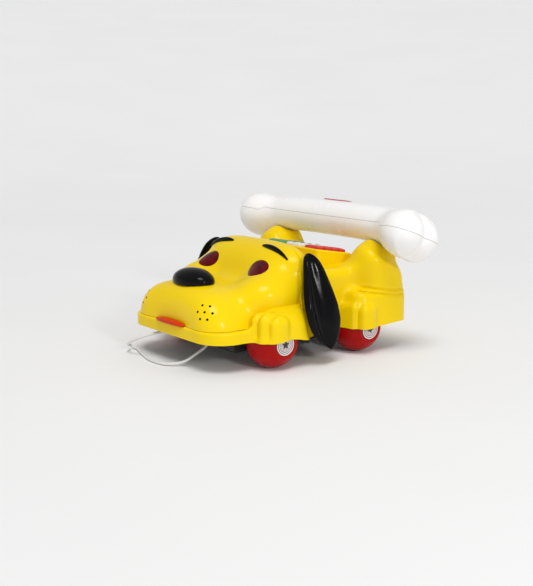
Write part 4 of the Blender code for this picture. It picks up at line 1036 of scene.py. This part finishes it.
def build_ears():
    foot = EAR_Z[0] + 5.5 * (1 - np.cos(np.linspace(0, math.pi / 2, 16)))
    crown = EAR_Z[-1] - 4.0 * (1 - np.sin(np.linspace(0.05, math.pi / 2, 12)))
    zs = np.concatenate([foot, np.linspace(17.5, 77.5, 90), crown])
    zs = np.unique(np.clip(zs, EAR_Z[0] + 0.01, EAR_Z[-1] - 0.01))
    us = 0.5 - 0.5 * np.cos(np.linspace(0, math.pi, 46))
    for side, sx in (("l", 1), ("r", -1)):
        rows = []
        for z in zs:
            a = ear_surface(z, us, True, sx)
            b = ear_surface(z, us[1:-1][::-1], False, sx)
            rows.append([Vector(p) for p in np.concatenate([a, b])])
        piece("ear_flap_" + side, grid_solid(rows), BLACK, "ear_" + side, sharp=60)


# ---------------------------------------------------------------- console and keys

def slope_ring(hx, hs, r, n, cx=0.0, cs=0.0, seg=8):
    out = []
    for qx, qs, a0 in ((1, 1, 0), (-1, 1, 90), (-1, -1, 180), (1, -1, 270)):
        for k in range(seg + 1):
            a = math.radians(a0 + 90 * k / seg)
            at = (cx + qx * (hx - r) + r * math.cos(a), cs + qs * (hs - r) + r * math.sin(a), n)
            out.append(on_slope(at))
    return out


def build_console():
    rows = []
    hx, y0, y1 = CONSOLE_HALF, CONSOLE_FRONT, CONSOLE_REAR
    hs = (y1 - y0) / 2 - 0.4

    def ring(inset, drop, r):
        pts = []
        for p in slope_ring(hx - inset, hs - inset, r, 0.0):
            pts.append(Vector((p.x, p.y, p.z - drop)))
        return pts

    base = [Vector((p.x, p.y, DECK_TOP - 0.2)) for p in ring(0.0, 0, 3.0)]
    rows.append(base)
    for k in range(7):
        t = math.pi / 2 * k / 6
        rows.append(ring(1.6 * (1 - math.cos(t)), 1.6 * (1 - math.sin(t)), 3.0 - 0.9 * (k / 6)))
    bm = grid_solid(rows)
    ob = piece("console_moulding", bm, YELLOW, "console", sharp=30)
    holes = []
    for x, t in key_centres():
        rows = [slope_ring(KEY_HALF_X + KEY_GAP, KEY_HALF_S + KEY_GAP, 1.0, n, x, t) for n in (-4.0, 3.0)]
        holes.append(grid_solid(rows))
    boolean(ob, [merged(*holes)])
    ob.data.set_sharp_from_angle(angle=math.radians(30))
    return ob


KEY_NAMES = ("1", "2", "3", "4", "5", "6", "7", "8", "9", "star", "0", "hash")
KEY_SIGNS = ("1", "2", "3", "4", "5", "6", "7", "8", "9", "*", "0", "#")


def key_sign(name, text, x, t, mat, node):
    cu = bpy.data.curves.new(name, "FONT")
    cu.body = text
    cu.size = 5.6 * MM
    cu.extrude = 0.06 * MM
    cu.align_x = "CENTER"
    cu.align_y = "CENTER"
    tmp = bpy.data.objects.new(name + "_text", cu)
    bpy.context.scene.collection.objects.link(tmp)
    me = bpy.data.meshes.new_from_object(tmp.evaluated_get(bpy.context.evaluated_depsgraph_get()))
    bpy.data.objects.remove(tmp)
    n = (on_slope((0, 0, 1)) - on_slope((0, 0, 0))).normalized()
    s = (on_slope((0, 1, 0)) - on_slope((0, 0, 0))).normalized()
    at = place(on_slope((x, t, KEY_PROUD + 0.55)))
    for v in me.vertices:
        v.co = at + Vector((-1, 0, 0)) * v.co.x - s * v.co.y + n * v.co.z
    me.materials.clear()
    me.materials.append(mat)
    ob = bpy.data.objects.new(name, me)
    bpy.context.scene.collection.objects.link(ob)
    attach(ob, BODY_OF[node])
    return ob


def build_keys():
    for k, (x, t) in enumerate(key_centres()):
        node = "key_" + KEY_NAMES[k]
        rows = [slope_ring(KEY_HALF_X + 0.7, KEY_HALF_S + 0.5, 1.0, -4.2, x, t),
                slope_ring(KEY_HALF_X + 0.7, KEY_HALF_S + 0.5, 1.0, -2.8, x, t),
                slope_ring(KEY_HALF_X, KEY_HALF_S, 1.0, -2.6, x, t)]
        for j in range(9):
            a = math.pi / 2 * j / 8
            rows.append(slope_ring(KEY_HALF_X - 1.1 * (1 - math.cos(a)), KEY_HALF_S - 1.1 * (1 - math.cos(a)),
                                   1.0 - 0.3 * j / 8, KEY_PROUD - 1.1 + 1.1 * math.sin(a), x, t))
        rows.append(slope_ring(KEY_HALF_X * 0.55, KEY_HALF_S * 0.5, 0.6, KEY_PROUD + 0.45, x, t))
        mat = KEY_MATS[k % 3]
        piece("keycap_" + KEY_NAMES[k], grid_solid(rows), mat, node, sharp=35)
        key_sign("key_sign_" + KEY_NAMES[k], KEY_SIGNS[k], x, t,
                 PRINT_DARK if k % 3 == 1 else PRINT_LIGHT, node)


# ---------------------------------------------------------------- wheels

def build_wheels():
    for pos, y in (("front", 0.0), ("rear", WHEELBASE)):
        for side, sx in (("l", 1), ("r", -1)):
            pts = [(6.7, 0), (6.7, AXLE_R + 0.3), (-WHEEL_HALF + 1, AXLE_R + 0.3), (-WHEEL_HALF + 1, 7.0),
                   (-WHEEL_HALF, 7.6)]
            for k in range(49):
                u = -1 + 2 * k / 48
                r = WHEEL_R * math.sqrt(1 - (u * WHEEL_HALF / 19.0) ** 2)
                pts.append((u * WHEEL_HALF, r))
            r_end = pts[-1][1]
            pts += [(WHEEL_HALF, r_end - 0.8), (WHEEL_HALF, 8.3), (WHEEL_HALF - 0.1, 8.15),
                    (WHEEL_HALF - 0.1, 0)]
            node = "wheel_%s_%s" % (pos, side)
            ball_bm = turned(pts, (sx * WHEEL_X, y, WHEEL_R), (sx, 0, 0), 128)
            piece("ball_" + node, ball_bm, RED, node, sharp=35)
            build_sticker(pos, side, sx, y)


def build_sticker(pos, side, sx, y):
    node = "hub_sticker_%s_%s" % (pos, side)
    x = WHEEL_X + WHEEL_HALF + 0.1
    pts = ((0, 0), (0, 7.9), (0.25, 7.9), (0.35, 7.8), (0.35, 0))
    ob = piece("film_" + node, turned(pts, (sx * x, y, WHEEL_R), (sx, 0, 0), 96), FILM, node, sharp=30)
    uv = ob.data.uv_layers.new(name="UVMap")
    c = place((0, y, WHEEL_R))
    for loop in ob.data.loops:
        v = ob.data.vertices[loop.vertex_index].co
        uv.data[loop.index].uv = (0.5 + (v.y - c.y) / 0.0158, 0.5 + (v.z - c.z) / 0.0158)
    bm = bmesh.new()
    for lift in (0.36, 0.44):
        ring = []
        for k in range(20):
            a = 2 * math.pi * k / 20 + (0.4 if pos == "rear" else 0.0)
            r = 3.6 if k % 4 == 0 else (1.7 if k % 4 == 2 else 2.3)
            ring.append(bm.verts.new((sx * (x + lift), y + r * math.sin(a), WHEEL_R + r * math.cos(a))))
        bm.faces.new(ring if lift > 0.4 else ring[::-1])
    bm.verts.ensure_lookup_table()
    for k in range(20):
        bm.faces.new((bm.verts[k], bm.verts[(k + 1) % 20], bm.verts[20 + (k + 1) % 20], bm.verts[20 + k]))
    extra("hub_mark_%s_%s" % (pos, side), bm, PRINT_DARK, node)


# ---------------------------------------------------------------- handset

def bone_half(up, n_mid, n_end, n_prof):
    st = bone_ring(n_mid, n_end)
    seam = np.array([bone_seam(x) for x in st[0]])
    gap = 0.12 * up
    arch = bone_arch(st[0])
    zc = arch + up
    zc = np.where(up * (zc - seam) < 0.5, seam + 0.5 * up, zc)
    lines = profiles(bone_field, st, seam + gap, 5.0, zc, up=up, counts=(30, 70, 60), reach=34.0)
    return [np.array([resample(q, n_prof) for q in lines])]


def build_handset():
    for name, up in (("handset_top", 1.0), ("handset_bottom", -1.0)):
        bm = sheet_shell(bone_half(up, 181, 61, 46), bone_field, 2.0, level=lambda c: 2)
        for v in bm.verts:
            v.co = to_world(v.co)
        piece(name + "_moulding", bm, WHITE, name, sharp=38)
    rows, n, m = [], 61, 15
    for i in range(n):
        x = -15.0 + 30.0 * i / (n - 1)
        arch = float(bone_arch(x))
        e = min(1.0, math.sqrt(max(0.0, 1 - (max(0.0, abs(x) - 12.5) / 2.55) ** 2)) + 0.05)
        ring = []
        for r, order in ((SHAFT_R + 0.1, 1), (SHAFT_R + 0.75, -1)):
            for a in np.linspace(-19, 19, m)[::order]:
                t = math.radians(a) * e
                lift = r - (0.25 if r > SHAFT_R + 0.5 and abs(a) > 17 else 0.0)
                ring.append(to_world((x, lift * math.sin(t), arch + lift * math.cos(t))))
        rows.append(ring)
    piece("badge_moulding", grid_solid(rows), BADGE, "handset_badge", sharp=30)


# ---------------------------------------------------------------- cord

def build_cord():
    line = smooth_route(CORD_ROUTE, 160)
    line[:, 2] = np.maximum(line[:, 2], CORD_R + 0.1)
    cu = bpy.data.curves.new("cord_loop", "CURVE")
    cu.dimensions = "3D"
    cu.bevel_depth = CORD_R * MM
    cu.bevel_resolution = 5
    cu.use_fill_caps = True
    sp = cu.splines.new("POLY")
    sp.points.add(len(line) - 1)
    for q, p in zip(sp.points, line):
        q.co = (*place(p), 1.0)
    cu.materials.append(CORD)
    ob = bpy.data.objects.new("cord_loop", cu)
    bpy.context.scene.collection.objects.link(ob)
    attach(ob, BODY_OF["pull_cord"])
    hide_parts("pull_cord")
    return ob


# ---------------------------------------------------------------- floor, light and camera

def build_stage():
    bm = bmesh.new()
    prof = [(0.0, 0.0), (0.3, 0.0), (1.2, 0.0)]
    for k in range(1, 13):
        a = math.radians(15.0 * k / 12)
        prof.append((1.2 + 4.0 * math.sin(a), 4.0 * (1 - math.cos(a))))
    prof.append((9.0, prof[-1][1] + (9.0 - prof[-1][0]) * math.tan(math.radians(15.0))))
    rings = []
    for r, z in prof:
        if r == 0:
            rings.append([bm.verts.new((0, 0, z - 0.0002))] * 96)
            continue
        rings.append([bm.verts.new((r * math.cos(2 * math.pi * k / 96), r * math.sin(2 * math.pi * k / 96),
                                    z - 0.0002)) for k in range(96)])
    for a, b in zip(rings, rings[1:]):
        for k in range(96):
            quad = [a[k], a[(k + 1) % 96], b[(k + 1) % 96], b[k]]
            bm.faces.new([v for i, v in enumerate(quad) if v not in quad[:i]])
    me = bpy.data.meshes.new("studio_floor")
    bm.to_mesh(me)
    bm.free()
    me.shade_smooth()
    floor = bpy.data.objects.new("studio_floor", me)
    bpy.context.scene.collection.objects.link(floor)
    m = bpy.data.materials.new("pale_paper")
    m.use_nodes = True
    nd = m.node_tree.nodes
    b = nd["Principled BSDF"]
    b.inputs["Roughness"].default_value = 0.8
    b.inputs["Specular IOR Level"].default_value = 0.25
    tc = nd.new("ShaderNodeTexCoord")
    ns = nd.new("ShaderNodeTexNoise")
    ns.inputs["Scale"].default_value = 3.0
    rp = ramp(nd, [(0.3, (0.845, 0.845, 0.845)), (0.7, (0.865, 0.865, 0.865))])
    links(m, (tc.outputs["Object"], ns.inputs["Vector"]), (ns.outputs["Fac"], rp.inputs["Fac"]),
          (rp.outputs["Color"], b.inputs["Base Color"]))
    me.materials.append(m)


def area(name, at, target, size, power, size_y=None):
    li = bpy.data.lights.new(name, "AREA")
    li.shape = "RECTANGLE"
    li.size = size
    li.size_y = size_y or size
    li.energy = power
    ob = bpy.data.objects.new(name, li)
    ob.location = at
    ob.rotation_euler = (Vector(target) - Vector(at)).to_track_quat("-Z", "Y").to_euler()
    bpy.context.scene.collection.objects.link(ob)


def build_lights():
    world = bpy.data.worlds.new("studio")
    bpy.context.scene.world = world
    world.use_nodes = True
    world.node_tree.nodes["Background"].inputs[0].default_value = (1, 1, 1, 1)
    world.node_tree.nodes["Background"].inputs[1].default_value = 0.47
    sun = bpy.data.lights.new("soft_overhead", "SUN")
    sun.energy = 1.5
    sun.angle = math.radians(26)
    ob = bpy.data.objects.new("soft_overhead", sun)
    ob.rotation_euler = Vector((0.35, -0.25, 1.0)).to_track_quat("Z", "Y").to_euler()
    bpy.context.scene.collection.objects.link(ob)
    area("window_light", (1.35, -0.25, 0.62), (0, 0, 0.05), 0.17, 4.4)


def build_camera():
    az, el = math.radians(51.87), math.radians(10.75)
    cam = bpy.data.cameras.new("camera")
    cam.sensor_width = 36.0
    cam.lens = 61.43
    cam.clip_start = 0.01
    cam.clip_end = 20.0
    ob = bpy.data.objects.new("camera", cam)
    ob.location = place((616.5, -444.7, 191.2))
    ob.rotation_euler = (math.pi / 2 - el, 0.0, az)
    bpy.context.scene.collection.objects.link(ob)
    bpy.context.scene.camera = ob


build_camera()
build_cord()
finish_kept()
build_body()
build_face()
build_eyes()
build_nose()
build_brows()
build_tongue()
build_ears()
build_console()
build_keys()
build_wheels()
build_handset()
build_stage()
build_lights()
bpy.context.scene.view_settings.view_transform = "Standard"
